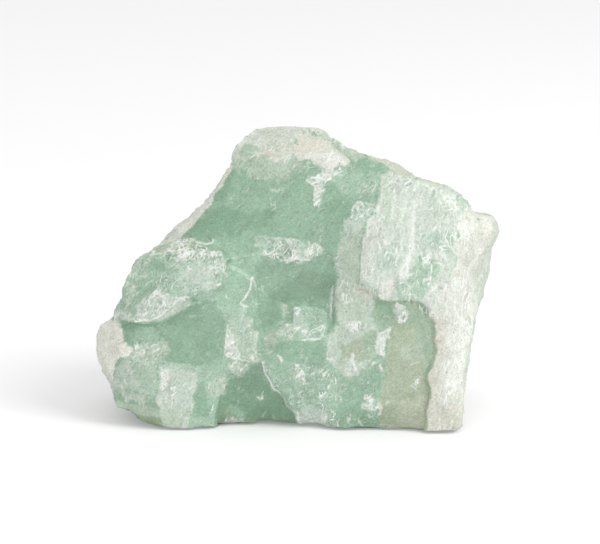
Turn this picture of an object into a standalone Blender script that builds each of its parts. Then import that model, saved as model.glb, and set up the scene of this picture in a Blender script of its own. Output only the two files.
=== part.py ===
"""A broken chunk of rough aquamarine: one solid stone, wider than tall, that rests on a flat foot.

The stone is drawn face on, in millimetres, with x to the right, y into the stone and z up, as it looks to
an eye straight before its broad front break. Facets are laid on that front one after another, and the front
is carried back into a solid. Its ends, top, back and underside are then broken off, its surface is made
uneven, and it is leant back onto its foot and scaled to metres.
"""

import math
import random

import bmesh
import bpy
from mathutils import Matrix, Vector, noise
from mathutils.geometry import delaunay_2d_cdt
from mathutils.kdtree import KDTree

STONE = "aquamarine"
COLLECTION = "rough_aquamarine"
CUTTERS = "cutters"
MM = 0.001
SEED = 5

# Driving dimensions, in millimetres and degrees
FRONT_DEPTH = -12.0  # of the plane that the front is drawn on
BACK_DEPTH = 19.0
LEAN_BACK = 12.0  # the front leans back this far from upright
FLOOR_AT_FRONT = -0.35  # height of the resting plane at the depth of the front
EYE = Vector((0.4, -324.5, 20.7))  # what lies behind the front looks smaller to it than it is
HEART = Vector((0.0, 2.0, 15.0))  # a point well inside, which no break removes
CLEAR = 40.0  # past every side of the stone
WIDE = 120.0  # the side of a block that is wider than the stone all round

# The net of triangles
POINT_SPACING = 1.55  # between neighbouring points of the front
POINT_JITTER = 0.3  # how far a loose point may lie from its place in the rows
POINT_MARGIN = 0.85  # how near a loose point may lie to an outline
ROW_HEIGHT = 0.87  # of a row of loose points, as a share of the spacing
SHARPEST = 0.5  # keeps the moved sides of an outline together at its sharpest corners
SAME_POINT = 0.03  # points of two outlines that are nearer than this are one
SLICES = [(1.0, 0.25, 0.1), (0.12, -0.2, 1.0), (-0.15, 1.0, 0.2)]  # ways that broad breaks are sliced up
SLICE_SPACING = 3.2
BROAD = 5.5  # square millimetres, past which a face is sliced
SLICE_SNAP = 0.3  # a slice that passes nearer to a point goes through it
NEAREST = 0.08  # points of the finished net that are nearer than this are one

# How uneven the stone is
CRUMB = 2.2  # the grain of a rough facet
COATS = [(0.34, 9.0), (0.2, 3.6)]  # how far each coat of unevenness moves a point, and its grain
# Where the front is bowed: the middle (x, z), the reach around it, and how deep, or how proud if negative
BOWS = [
    (-7.5, 27.0, 6.0, 0.8), (3.0, 30.5, 5.0, -0.3), (-14.5, 20.0, 4.5, -0.5), (0.0, 18.5, 5.0, 0.4),
    (13.5, 8.0, 5.0, 0.3), (13.0, 24.0, 6.0, -0.3),
]

# The outline of the whole stone, face on, from the underside at the left round to the right
OUTLINE = [
    (-13.0, 0.4), (-15.5, 0.4), (-19.0, 1.4), (-21.0, 2.9), (-22.4, 3.5), (-23.0, 6.0), (-24.7, 8.6),
    (-25.4, 11.0), (-25.0, 13.5), (-24.0, 14.5), (-23.1, 15.3), (-22.9, 16.2), (-21.9, 17.4),
    (-21.2, 20.2), (-20.3, 21.3), (-20.2, 22.2), (-19.1, 23.0), (-18.0, 23.4), (-16.7, 24.9),
    (-15.4, 26.6), (-13.2, 28.0), (-12.5, 29.0), (-10.4, 31.0), (-9.6, 32.2), (-8.7, 34.0),
    (-8.0, 34.8), (-7.9, 36.2), (-7.2, 37.5), (-5.7, 38.8), (-4.9, 39.5), (-3.0, 39.5), (-0.9, 39.1),
    (0.9, 39.6), (3.4, 38.9), (6.2, 37.0), (8.0, 36.2), (12.9, 34.4), (15.1, 32.8), (19.6, 31.5),
    (21.2, 30.1), (22.2, 28.5), (24.5, 27.9), (25.4, 26.0), (24.3, 23.4), (24.0, 20.0), (22.4, 15.0),
    (21.9, 11.5), (21.2, 8.0), (21.0, 3.0), (20.6, 0.7), (19.6, 0.1), (16.0, 0.0), (11.2, 0.4),
    (8.0, 0.2), (4.6, 0.5), (2.6, 1.0), (-4.8, 1.2), (-6.3, 0.6), (-10.0, 0.2),
]

# The facets of the front, in the order that they are laid. Each has the outline (x, z) of its break, a point
# that its plane goes through, the way that it faces, as degrees turned to the right and leant back, the slant
# of the ledge around it and how rough it is. A later facet lies over an earlier one, so an edge that two of
# them share is drawn once, by the later.
FACETS = {
    "upper face": dict(
        through=(-2.0, -9.1, 29.5), turn=-5, lean=5, slant=0.2, rough=0.0,
        outline=[(-20, 22), (-20, 32), (-9, 42), (10, 42), (16, 33), (13, 26), (8, 18), (-8, 18)],
    ),
    "vein": dict(
        through=(2.5, -9.7, 31.0), turn=-8, lean=8, slant=0.4, rough=0.3,
        outline=[(1.0, 32.6), (1.9, 31.8), (2.1, 30.6), (2.2, 29.2), (2.8, 29.0), (3.2, 31.0),
                 (4.0, 33.3), (2.7, 33.5)],
    ),
    "left flank": dict(
        through=(-11.2, -8.5, 29.0), turn=-58, lean=48, slant=0.7, rough=0.5,
        outline=[(-14.3, 25.1), (-13.4, 26.3), (-12.0, 28.0), (-10.6, 29.8), (-9.4, 31.6), (-8.6, 33.3),
                 (-8.0, 34.7), (-9.5, 37.0), (-22, 30), (-21, 22), (-16, 22)],
    ),
    "sugary cap": dict(
        through=(-4.0, -8.7, 35.0), turn=-12, lean=42, slant=0.7, rough=0.7,
        outline=[(-9.5, 34.0), (-7.4, 34.6), (-6.6, 36.6), (-5.4, 36.6), (-4.4, 35.3), (-2.2, 34.6),
                 (-0.4, 35.4), (1.6, 34.5), (3.3, 36.0), (4.2, 42), (-12, 42)],
    ),
    "top strip": dict(
        through=(13.0, -10.5, 33.6), turn=29, lean=58, slant=0.6, rough=0.3,
        outline=[(3.0, 38.6), (5.0, 37.2), (6.5, 36.4), (9.0, 35.4), (11.0, 34.4), (12.6, 33.1),
                 (15.0, 32.3), (20.2, 31.1), (24, 30), (20, 40), (3, 44)],
    ),
    "cream scar": dict(
        through=(3.0, -9.7, 34.4), turn=2, lean=38, slant=0.6, rough=0.25,
        outline=[(-0.8, 35.9), (0.2, 35.1), (1.5, 34.9), (2.3, 34.4), (3.8, 33.8), (5.0, 34.2),
                 (6.2, 34.2), (6.6, 34.9), (5.8, 36.2), (4.8, 37.1), (3.6, 37.9), (1.0, 38.3),
                 (0.1, 38.0)],
    ),
    "centre recess": dict(
        through=(0.0, -9.1, 18.0), turn=-3, lean=-5, slant=0.4, rough=0.1,
        outline=[(-9, 22.9), (-4.8, 23.6), (3.6, 23.6), (6, 22.3), (8, 18), (7, 8), (-9, 8)],
    ),
    "crushed ledge": dict(
        through=(-1.0, -9.8, 23.6), turn=-4, lean=20, slant=0.6, rough=0.7,
        outline=[(-5.4, 25.3), (-3.0, 25.2), (-1.0, 24.8), (1.3, 24.4), (2.6, 24.3), (3.1, 23.3),
                 (2.5, 22.6), (1.2, 22.2), (0.0, 21.6), (-1.2, 21.9), (-1.9, 22.6), (-3.6, 22.8),
                 (-5.2, 23.1), (-7.8, 23.0), (-7.0, 24.2)],
    ),
    "smooth lower left": dict(
        through=(-13.0, -9.5, 12.5), turn=-7, lean=-3, slant=0.3, rough=0.0,
        outline=[(-26, 16), (-16, 18), (-8, 18), (-6, 8), (-26, 7)],
    ),
    "under the lobe": dict(
        through=(-14.0, -9.7, 15.9), turn=17, lean=-38, slant=0.3, rough=0.2,
        outline=[(-17.2, 14.2), (-15.0, 15.3), (-13.0, 16.4), (-10.6, 16.8), (-9.7, 17.2), (-8, 19),
                 (-12, 20), (-18, 17), (-21.5, 14.3)],
    ),
    "lobe shelf": dict(
        through=(-12.5, -8.9, 24.8), turn=-14, lean=45, slant=0.6, rough=0.5,
        outline=[(-18.6, 23.4), (-16.8, 24.4), (-14.4, 25.1), (-12.4, 24.6), (-10.3, 24.6),
                 (-9.4, 23.5), (-8.2, 22.9), (-9, 21), (-21, 21)],
    ),
    "lobe": dict(
        through=(-13.0, -10.5, 20.0), turn=-14, lean=8, slant=0.5, rough=0.25,
        outline=[(-26, 23.4), (-19.0, 23.1), (-15.6, 23.4), (-14.0, 22.7), (-11.6, 23.1), (-9.6, 22.8),
                 (-8.3, 21.5), (-8.9, 19.6), (-9.2, 18.7), (-10.6, 18.5), (-12.6, 17.6), (-14.8, 17.3),
                 (-15.7, 16.3), (-17.0, 15.2), (-18.6, 14.5), (-21.5, 14.6), (-23.3, 15.1), (-27, 15)],
    ),
    "lobe flake": dict(
        through=(-17.0, -10.3, 17.0), turn=-15, lean=4, slant=0.5, rough=0.3,
        outline=[(-20.6, 14.9), (-19.6, 16.8), (-17.4, 19.3), (-15.4, 19.0), (-13.6, 17.7),
                 (-14.8, 17.2), (-15.9, 16.3), (-17.0, 15.3), (-18.6, 14.7)],
    ),
    "lower left face": dict(
        through=(-19.5, -9.6, 6.0), turn=-22, lean=-6, slant=0.4, rough=0.3,
        outline=[(-26, 8.4), (-21.5, 9.2), (-18.5, 9.8), (-14, 9), (-13, -2), (-26, -2)],
    ),
    "left end": dict(
        through=(-21.6, -9.3, 12.0), turn=-44, lean=5, slant=0.8, rough=0.4,
        outline=[(-22.3, 14.9), (-21.9, 12.9), (-21.2, 11.3), (-20.2, 10.0), (-21.4, 7.8), (-22.4, 5.8),
                 (-28, 4), (-28, 15.1), (-23.3, 15.1)],
    ),
    "left end round": dict(
        through=(-24.0, -7.0, 12.0), turn=-66, lean=4, slant=1.0, rough=0.5,
        outline=[(-23.8, 15.6), (-24.1, 10.5), (-23.4, 4), (-30, 4), (-30, 18)],
    ),
    "lower left undercut": dict(
        through=(-18.5, -9.5, 2.1), turn=-18, lean=-50, slant=0.4, rough=0.3,
        outline=[(-23.5, 4.4), (-21.3, 3.2), (-19.8, 2.3), (-17.5, 1.9), (-16.0, 1.8), (-16, -2),
                 (-26, -2)],
    ),
    "lower middle": dict(
        through=(-11.0, -9.8, 5.0), turn=8, lean=-4, slant=0.3, rough=0.2,
        outline=[(-14, -2), (-14, 8.4), (-11.0, 9.3), (-8.0, 9.5), (-7, 5), (-8, -2)],
    ),
    "pale prism": dict(
        through=(-15.0, -10.4, 5.0), turn=-5, lean=-2, slant=0.5, rough=0.3,
        outline=[(-17.1, 8.8), (-16.2, 9.5), (-14.0, 9.2), (-12.1, 8.7), (-12.5, 6.0), (-12.8, 3.2),
                 (-13.2, -2), (-17.7, -2), (-17.5, 4.8)],
    ),
    "dark undercut": dict(
        through=(-5.0, -9.1, 7.0), turn=0, lean=-15, slant=0.3, rough=0.1,
        outline=[(-10.6, -2), (-9.9, 2.6), (-9.3, 5.2), (-8.5, 6.8), (-8.4, 10.5), (-3, 10.5), (3, 5),
                 (3, -2)],
    ),
    "undercut chip": dict(
        through=(-7.5, -8.7, 2.5), turn=10, lean=-8, slant=0.3, rough=0.3,
        outline=[(-8.4, 3.7), (-7.3, 3.3), (-6.5, 2.5), (-6.7, 1.6), (-9.2, 1.3)],
    ),
    "lower centre": dict(
        through=(1.0, -10.0, 6.0), turn=-3, lean=-5, slant=0.4, rough=0.2,
        outline=[(-4.8, 9.4), (-4.1, 8.3), (-3.7, 7.4), (-2.3, 5.3), (-1.3, 4.0), (-0.8, 3.1),
                 (-0.2, 2.8), (0.4, 1.0), (0.5, -2), (11, -2), (11, 11.8), (3.7, 12.0), (0.3, 12.1),
                 (-3.3, 11.8)],
    ),
    "right step": dict(
        through=(1.8, -9.8, 14.0), turn=6, lean=4, slant=0.3, rough=0.1,
        outline=[(-0.2, 16.4), (0.9, 16.6), (2.8, 16.2), (3.9, 15.8), (5, 12.4), (3.7, 12.1),
                 (0.3, 12.2), (-0.7, 14.0)],
    ),
    "left step": dict(
        through=(-1.6, -10.1, 12.8), turn=-8, lean=20, slant=0.3, rough=0.3,
        outline=[(-3.4, 11.7), (-3.0, 13.0), (-1.6, 14.3), (-0.8, 14.0), (0.5, 12.3), (0.4, 11.6)],
    ),
    "flake foot": dict(
        through=(-7.2, -10.2, 12.0), turn=-4, lean=-3, slant=0.4, rough=0.4,
        outline=[(-8.6, 14.6), (-8.9, 12.5), (-9.1, 10.6), (-8.8, 9.9), (-8.0, 9.6), (-5.8, 9.0),
                 (-4.9, 9.3), (-5.1, 12.0), (-5.3, 15.8), (-7, 16)],
    ),
    "flake": dict(
        through=(-7.4, -10.2, 18.0), turn=-2, lean=5, slant=0.4, rough=0.15,
        outline=[(-8.6, 21.9), (-6.5, 20.9), (-5.7, 20.0), (-5.2, 19.2), (-5.3, 17.0), (-5.6, 16.0),
                 (-6.6, 15.0), (-7.6, 14.5), (-8.6, 14.3), (-9.3, 15.3), (-9.9, 16.2), (-9.8, 17.3),
                 (-9.2, 18.8)],
    ),
    "flake rim": dict(
        through=(-5.7, -9.8, 17.5), turn=22, lean=0, slant=0.3, rough=0.2,
        outline=[(-5.6, 20.3), (-5.9, 18.9), (-6.3, 17.6), (-6.9, 16.8), (-6.2, 16.4), (-6.9, 15.2),
                 (-7.2, 14.2), (-5, 14.8), (-4.6, 20)],
    ),
    "ridge": dict(
        through=(4.8, -10.1, 15.0), turn=-10, lean=0, slant=0.4, rough=0.2,
        outline=[(3.7, 9.6), (3.9, 12.3), (4.6, 13.5), (4.9, 17.0), (5.1, 20.0), (4.6, 22.4), (8, 22),
                 (8, 9)],
    ),
    "middle right": dict(
        through=(8.0, -10.6, 12.0), turn=-3, lean=-2, slant=0.5, rough=0.3,
        outline=[(5.0, 8.4), (6.3, 7.1), (7.9, 7.7), (9.3, 8.9), (11.5, 10.4), (13, 13), (13, 18),
                 (9, 21), (5.5, 20.4), (5.2, 15.0), (5.5, 12.0)],
    ),
    "lower right": dict(
        through=(8.5, -10.4, 3.0), turn=-4, lean=-9, slant=0.4, rough=0.25,
        outline=[(5.4, -2), (5.6, 2.2), (6.6, 4.4), (8.8, 5.2), (12, 5.4), (12, -2)],
    ),
    "block wall": dict(
        through=(5.1, -10.0, 23.0), turn=-20, lean=4, slant=0.4, rough=0.3,
        outline=[(5.0, 19.8), (4.8, 22.0), (5.2, 25.0), (6.3, 27.0), (6.8, 28.3), (9, 28.5), (11, 24),
                 (9, 19.4), (7.6, 20.2)],
    ),
    "top flake": dict(
        through=(8.5, -10.6, 28.5), turn=-12, lean=10, slant=0.4, rough=0.2,
        outline=[(6.7, 27.8), (7.1, 29.0), (8.0, 29.8), (9.1, 29.5), (10.0, 29.1), (12, 29), (11, 27),
                 (8.4, 27.4)],
    ),
    "window": dict(
        through=(14.0, -10.6, 9.0), turn=0, lean=-2, slant=0.3, rough=0.05,
        outline=[(9.8, 17.6), (9.8, 16.4), (9.3, 15.0), (10.4, 13.6), (11.3, 13.4), (11.5, 12.6),
                 (11.1, 11.0), (10.8, 7.0), (10.5, 3.8), (10.3, -2), (18, -2), (20, 15), (16, 19)],
    ),
    "window chips": dict(
        through=(12.9, -11.0, 15.2), turn=-6, lean=-6, slant=0.3, rough=0.2,
        outline=[(12.2, 17.6), (12.1, 15.8), (12.6, 14.2), (13.1, 14.4), (13.9, 15.2), (14.2, 17.6)],
    ),
    "column": dict(
        through=(19.0, -11.6, 10.0), turn=7, lean=1, slant=0.4, rough=0.2,
        outline=[(17.3, 13.0), (17.2, 12.3), (17.6, 11.0), (17.2, 9.3), (16.4, 7.2), (16.9, 5.8),
                 (16.3, 2.7), (16.1, -2), (28, -2), (28, 26), (18, 26), (17, 16)],
    ),
    "milky block": dict(
        through=(13.0, -11.4, 24.0), turn=1, lean=7, slant=0.5, rough=0.2,
        outline=[(8.2, 19.2), (7.8, 20.6), (8.0, 22.0), (8.1, 25.0), (8.6, 26.2), (9.0, 27.6),
                 (10.1, 28.2), (10.4, 29.8), (10.4, 31.5), (11.8, 33.4), (15.0, 32.4), (20.2, 31.2),
                 (24, 31), (20.6, 27), (20.0, 22.0), (18.6, 19.2), (17.6, 14.5), (16.7, 15.0),
                 (16.3, 16.0), (15.0, 16.9), (13.2, 17.3), (11.5, 16.9), (10.4, 17.3), (9.0, 18.7)],
    ),
    "left slab": dict(
        through=(9.8, -11.6, 23.0), turn=-6, lean=6, slant=0.6, rough=0.2,
        outline=[(8.3, 26.0), (9.0, 27.4), (10.4, 27.6), (11.6, 26.6), (12.1, 24.0), (11.3, 20.6),
                 (11.6, 16.9), (10.4, 17.2), (9.0, 18.7), (8.1, 19.4), (7.8, 20.6), (8.0, 22.0)],
    ),
    "middle slab": dict(
        through=(13.6, -11.7, 23.0), turn=6, lean=8, slant=0.6, rough=0.2,
        outline=[(11.9, 16.8), (14.2, 17.1), (15.1, 19.6), (14.6, 21.5), (15.5, 24.4), (14.7, 28.0),
                 (14.0, 31.0), (12.6, 29.6), (12.9, 26.0), (12.2, 22.0), (12.6, 19.6)],
    ),
    "right slab": dict(
        through=(18.0, -11.65, 24.0), turn=5, lean=8, slant=0.6, rough=0.2,
        outline=[(16.9, 18.0), (17.4, 20.4), (16.8, 23.2), (17.6, 26.4), (16.8, 29.4), (19.4, 30.0),
                 (20.6, 27.6), (20.0, 22.0), (18.8, 18.6)],
    ),
    "shoulder": dict(
        through=(19.6, -11.0, 29.6), turn=24, lean=30, slant=0.5, rough=0.3,
        outline=[(16.9, 30.4), (18.3, 29.0), (19.8, 28.5), (21.4, 29.2), (23, 31), (20.0, 32.0)],
    ),
    "left rib": dict(
        through=(18.2, -11.85, 12.0), turn=-10, lean=1, slant=0.5, rough=0.2,
        outline=[(17.3, 19.0), (18.7, 18.8), (18.6, 12.0), (18.9, 8.0), (18.4, 4.2), (17.5, 4.8),
                 (17.9, 9.0), (17.8, 13.0)],
    ),
    "middle rib": dict(
        through=(19.6, -11.95, 12.0), turn=8, lean=1, slant=0.5, rough=0.2,
        outline=[(19.2, 22.0), (20.3, 24.0), (20.2, 14.0), (20.1, 8.0), (19.8, 4.4), (18.7, 3.6),
                 (18.9, 8.0), (19.1, 13.0)],
    ),
    "cream corner": dict(
        through=(21.8, -11.2, 25.0), turn=24, lean=8, slant=0.8, rough=0.3,
        outline=[(20.5, 28.4), (22.6, 30), (26, 30), (24.4, 24.4), (22.3, 20.8), (20.7, 21.8),
                 (20.5, 25.0)],
    ),
    "right side": dict(
        through=(21.7, -11.1, 14.0), turn=58, lean=2, slant=0.9, rough=0.3,
        outline=[(23.9, 24.4), (22.4, 20.8), (22.0, 17.0), (21.4, 13.0), (20.9, 8.0), (20.6, -2),
                 (30, -2), (30, 24.0)],
    ),
    "knob": dict(
        through=(24.0, -7.9, 26.0), turn=20, lean=6, slant=0.4, rough=0.3,
        outline=[(22.3, 28.7), (23.1, 27.2), (23.0, 25.4), (23.6, 23.4), (28, 22), (28, 29)],
    ),
}
LOWEST_FACET = "upper face"  # is also wherever no other is laid

# The breaks that end the stone at its sides, top, back and foot: each plane goes through three points
BREAKS = {
    "left flank": [(-17.0, -5.0, 25.0), (-9.8, -5.0, 34.0), (-10.4, 12.0, 24.5)],
    "left end": [(-25.5, -3.5, 17.0), (-25.2, -3.5, 3.0), (-18.0, 14.0, 9.0)],
    "lower left": [(-24.5, -5.0, 4.0), (-16.0, -6.0, 0.7), (-6.0, 14.0, 6.4)],
    "lower right": [(22.0, -6.0, 3.2), (18.6, -7.0, 0.6), (9.0, 12.0, 5.6)],
    "right end": [(25.8, -4.0, 25.0), (21.6, -4.0, 3.0), (19.0, 15.0, 15.0)],
    "right shoulder": [(16.0, -6.5, 33.2), (23.8, -4.0, 29.4), (15.0, 12.0, 25.0)],
    "top right": [(4.0, -5.0, 39.4), (14.5, -6.0, 34.4), (6.0, 14.0, 28.0)],
    "top left": [(-6.5, -4.0, 39.6), (1.5, -4.0, 40.5), (-5.0, 14.0, 29.0)],
    "back": [(-16.0, 15.0, 3.0), (16.0, 16.5, 8.0), (-3.0, 12.5, 28.0)],
    "back upper right": [(19.0, 6.0, 25.0), (2.0, 13.5, 30.0), (17.0, 14.5, 12.0)],
    "back upper left": [(-19.0, 5.0, 20.0), (-8.0, 12.0, 27.5), (-15.0, 14.5, 8.0)],
    "back foot": [(-14.0, 15.0, 9.5), (15.0, 16.0, 11.0), (0.0, 6.5, 3.5)],
}

# Splinters that have come away from the back and the right end. Each takes out the corner of a box: where
# that corner lies, the turn of the box about x, y and z in degrees, and how far its sides run from there
SPLINTERS = {
    "back shoulder": dict(corner=(-4.0, 12.3, 19.0), turned=(10, -14, 8), sides=(30, 20, 24)),
    "back right step": dict(corner=(10.5, 13.2, 13.0), turned=(-6, 10, -12), sides=(20, 16, 12)),
    "back left step": dict(corner=(-8.5, 13.2, 10.5), turned=(6, 22, 10), sides=(-22, 16, 10)),
    "back low step": dict(corner=(1.0, 13.9, 5.0), turned=(-12, -30, 5), sides=(16, 10, 8)),
    "right step": dict(corner=(21.8, 0.5, 14.0), turned=(4, -8, 14), sides=(12, 20, 20)),
}


def collection(name):
    """A new collection in the scene."""
    made = bpy.data.collections.new(name)
    bpy.context.scene.collection.children.link(made)
    return made


def new_object(name, mesh, home):
    """An object in a collection."""
    made = bpy.data.objects.new(name, mesh)
    home.objects.link(made)
    return made


def inside(x, z, outline):
    """Whether a point of the drawing lies inside an outline."""
    crossings = 0
    for (x0, z0), (x1, z1) in zip(outline, outline[1:] + outline[:1]):
        if (z0 > z) != (z1 > z) and x < x0 + (x1 - x0) * (z - z0) / (z1 - z0):
            crossings += 1
    return crossings % 2 == 1


def facet_at(x, z):
    """The name of the last facet laid over a point of the drawing."""
    found = LOWEST_FACET
    for name, facet in FACETS.items():
        if inside(x, z, facet["outline"]):
            found = name
    return found


def depth_at(x, z):
    """The depth of the front at a point of the drawing."""
    facet = FACETS[facet_at(x, z)]
    px, py, pz = facet["through"]
    across = math.tan(math.radians(facet["turn"]))
    up = math.tan(math.radians(facet["lean"]))
    crumbs = facet["rough"] * noise.noise(Vector((x, z, 0)) / CRUMB)
    return py + (x - px) * across + (z - pz) * up + crumbs


def stepped(outline):
    """An outline as a closed row of points at most one spacing apart."""
    row = []
    for start, end in zip(outline, outline[1:] + outline[:1]):
        start, end = Vector(start), Vector(end)
        steps = math.ceil((end - start).length / POINT_SPACING)
        row += [start.lerp(end, i / steps) for i in range(steps)]
    return row


def grown(row, by):
    """A closed row of points with each side moved out by a distance, or in if the distance is negative."""
    area = sum(a.cross(b) for a, b in zip(row, row[1:] + row[:1]))
    moved = []
    for i, corner in enumerate(row):
        before = (corner - row[i - 1]).normalized()
        after = (row[(i + 1) % len(row)] - corner).normalized()
        out = Vector((before.y + after.y, -before.x - after.x)) * math.copysign(1, area)
        moved.append(corner + out * by / max(SHARPEST, 1 + before.dot(after)))
    return moved


def sides_that_part(inner, outer):
    """The sides of a closed row that part two facets, and aren't hidden under a later one, with the side
    before each. A side is known by the place of its first point."""
    parts = [facet_at(*a) != facet_at(*b) for a, b in zip(inner, outer)]
    return [i for i in range(len(parts)) if parts[i] or parts[(i + 1) % len(parts)]]


def draw_lines(points, lines, row, sides):
    """Adds the given sides of a closed row of points to a drawing."""
    used = sorted({i for side in sides for i in (side, (side + 1) % len(row))})
    place = {i: len(points) + n for n, i in enumerate(used)}
    points += [row[i] for i in used]
    lines += [(place[side], place[(side + 1) % len(row)]) for side in sides]


def draw_outlines():
    """The points and lines of every outline. Each facet's is drawn twice, with its ledge between."""
    points, lines = [], []
    rim = stepped(OUTLINE)
    draw_lines(points, lines, rim, range(len(rim)))
    for facet in FACETS.values():
        row = stepped(facet["outline"])
        inner = grown(row, -facet["slant"] / 2)
        outer = grown(row, facet["slant"] / 2)
        sides = sides_that_part(inner, outer)
        draw_lines(points, lines, inner, sides)
        draw_lines(points, lines, outer, sides)
    return points, lines


def loose_points(drawn):
    """Rows of points that fill the facets, a little out of line, and clear of the points already drawn."""
    near = KDTree(len(drawn))
    for i, point in enumerate(drawn):
        near.insert((point.x, point.y, 0), i)
    near.balance()
    jitter = random.Random(SEED)
    rows = int(CLEAR / (POINT_SPACING * ROW_HEIGHT))
    columns = int(2 * CLEAR / POINT_SPACING)
    points = []
    for row in range(rows):
        for column in range(columns):
            x = (column + row % 2 / 2) * POINT_SPACING - CLEAR + jitter.uniform(-1, 1) * POINT_JITTER
            z = row * POINT_SPACING * ROW_HEIGHT + jitter.uniform(-1, 1) * POINT_JITTER
            if inside(x, z, OUTLINE) and near.find((x, z, 0))[2] > POINT_MARGIN:
                points.append(Vector((x, z)))
    return points


def front_sheet():
    """The front as an open sheet of triangles, with each point at the depth of its own facet."""
    points, lines = draw_outlines()
    points += loose_points(points)
    corners, _, triangles, *_ = delaunay_2d_cdt(points, lines, [], 0, SAME_POINT)
    bm = bmesh.new()
    placed = [bm.verts.new((x, depth_at(x, z), z)) for x, z in corners]
    for triangle in triangles:
        middle = sum((corners[i] for i in triangle), Vector((0, 0))) / 3
        if inside(*middle, OUTLINE):
            bm.faces.new([placed[i] for i in triangle])
    bmesh.ops.delete(bm, geom=[v for v in bm.verts if not v.link_faces], context="VERTS")
    return bm


def in_order(mesh):
    """A mesh with its points and faces listed by where they lie. A cut leaves them in no fixed order, and the
    changes that come after it go by their order."""
    order = sorted(range(len(mesh.vertices)), key=lambda i: mesh.vertices[i].co[:])
    place = {old: new for new, old in enumerate(order)}
    faces = []
    for face in mesh.polygons:
        corners = [place[i] for i in face.vertices]
        first = corners.index(min(corners))
        faces.append(corners[first:] + corners[:first])
    listed = bpy.data.meshes.new(mesh.name)
    listed.from_pydata([mesh.vertices[i].co for i in order], [], sorted(faces))
    return listed


def unbroken_stone(home):
    """The front carried straight back into a solid."""
    bm = front_sheet()
    rim = [edge for edge in bm.edges if edge.is_boundary]
    sides = bmesh.ops.extrude_edge_only(bm, edges=rim)["geom"]
    for corner in (item for item in sides if isinstance(item, bmesh.types.BMVert)):
        corner.co.y = BACK_DEPTH
    bmesh.ops.edgeloop_fill(bm, edges=[edge for edge in bm.edges if edge.is_boundary])
    bmesh.ops.recalc_face_normals(bm, faces=bm.faces)
    mesh = bpy.data.meshes.new(STONE)
    bm.to_mesh(mesh)
    bm.free()
    return new_object(STONE, in_order(mesh), home)


def block(name, size, centre, turn, home):
    """A box as a cutter."""
    mesh = bpy.data.meshes.new(name)
    bm = bmesh.new()
    bmesh.ops.create_cube(bm, size=1, matrix=Matrix.LocRotScale(centre, turn, Vector(size)))
    bm.to_mesh(mesh)
    bm.free()
    made = new_object(name, mesh, home)
    made.hide_render = True
    made.display_type = "WIRE"
    return made


def cut_away(stone, cutter):
    """Cuts the stone with a cutter, and uses the cutter up."""
    cut = stone.modifiers.new(cutter.name, "BOOLEAN")
    cut.operation = "DIFFERENCE"
    cut.solver = "EXACT"
    cut.object = cutter
    graph = bpy.context.evaluated_depsgraph_get()
    left = bpy.data.meshes.new_from_object(stone.evaluated_get(graph))
    stone.modifiers.clear()
    stone.data = in_order(left)
    bpy.data.objects.remove(cutter)


def break_off(stone, name, points, home):
    """Breaks the stone along the plane through three points, and keeps the side that holds its heart."""
    a, b, c = (Vector(point) for point in points)
    outward = (b - a).cross(c - a).normalized()
    if outward.dot(HEART - a) > 0:
        outward.negate()
    centre = (a + b + c) / 3 + outward * WIDE / 2
    cut_away(stone, block(name, (WIDE, WIDE, WIDE), centre, outward.to_track_quat("Z", "Y"), home))


def splinter(stone, name, corner, turned, sides, home):
    """Takes the corner of a box out of the stone, which leaves a step with two or three flat faces."""
    turn = Matrix.Identity(3)
    for angle, axis in zip(turned, "XYZ"):
        turn = Matrix.Rotation(math.radians(angle), 3, axis) @ turn
    size = [abs(side) for side in sides]
    centre = Vector(corner) + turn @ (Vector(sides) / 2)
    cut_away(stone, block(name, size, centre, turn.to_quaternion(), home))


def slice_broad_faces(bm):
    """Cuts the broad breaks of the sides and back into small faces, along families of planes."""
    steps = int(CLEAR / SLICE_SPACING)
    for direction in SLICES:
        across = Vector(direction).normalized()
        for step in range(-steps, steps + 1):
            faces = [face for face in bm.faces if face.calc_area() > BROAD]
            edges = dict.fromkeys(edge for face in faces for edge in face.edges)
            corners = dict.fromkeys(corner for face in faces for corner in face.verts)
            bmesh.ops.bisect_plane(
                bm,
                geom=[*corners, *edges, *faces],
                dist=SLICE_SNAP,
                plane_co=across * step * SLICE_SPACING,
                plane_no=across,
            )


def can_join(edge):
    """Whether joining the ends of an edge leaves a closed surface, as it does if they share two neighbours."""
    first, second = ({side.other_vert(end) for side in end.link_edges} for end in edge.verts)
    return len(first & second) == 2


def tidy(bm):
    """Cuts every face into triangles, then joins points that lie too near each other, the nearest first."""
    bmesh.ops.triangulate(bm, faces=bm.faces)
    short = True
    while short:
        short = [edge for edge in bm.edges if edge.calc_length() < NEAREST and can_join(edge)]
        if short:
            ends = min(short, key=lambda edge: edge.calc_length()).verts
            middle = (ends[0].co + ends[1].co) / 2
            bmesh.ops.pointmerge(bm, verts=list(ends), merge_co=middle)


def bow(bm):
    """Bows the facets of the front, which no break leaves quite flat. The bow fades out behind them."""
    for corner in bm.verts:
        share = min(1, max(0, 2 * corner.co.y / FRONT_DEPTH))
        for x, z, reach, deep in BOWS:
            away = ((corner.co.x - x) ** 2 + (corner.co.z - z) ** 2) / reach**2
            corner.co.y += share * deep * math.exp(-away)


def take_out_perspective(bm):
    """Moves each point out along its line of sight, so that what is drawn at the scale of the front has its
    own size at its own depth."""
    for corner in bm.verts:
        farther = (corner.co.y - EYE.y) / (FRONT_DEPTH - EYE.y)
        corner.co.x = EYE.x + (corner.co.x - EYE.x) * farther
        corner.co.z = EYE.z + (corner.co.z - EYE.z) * farther


def roughen(bm):
    """Moves every point a little, so that no facet stays flat and no ledge straight."""
    noise.seed_set(SEED)
    for reach, grain in COATS:
        for corner in bm.verts:
            corner.co += reach * noise.noise_vector(corner.co / grain)


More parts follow.
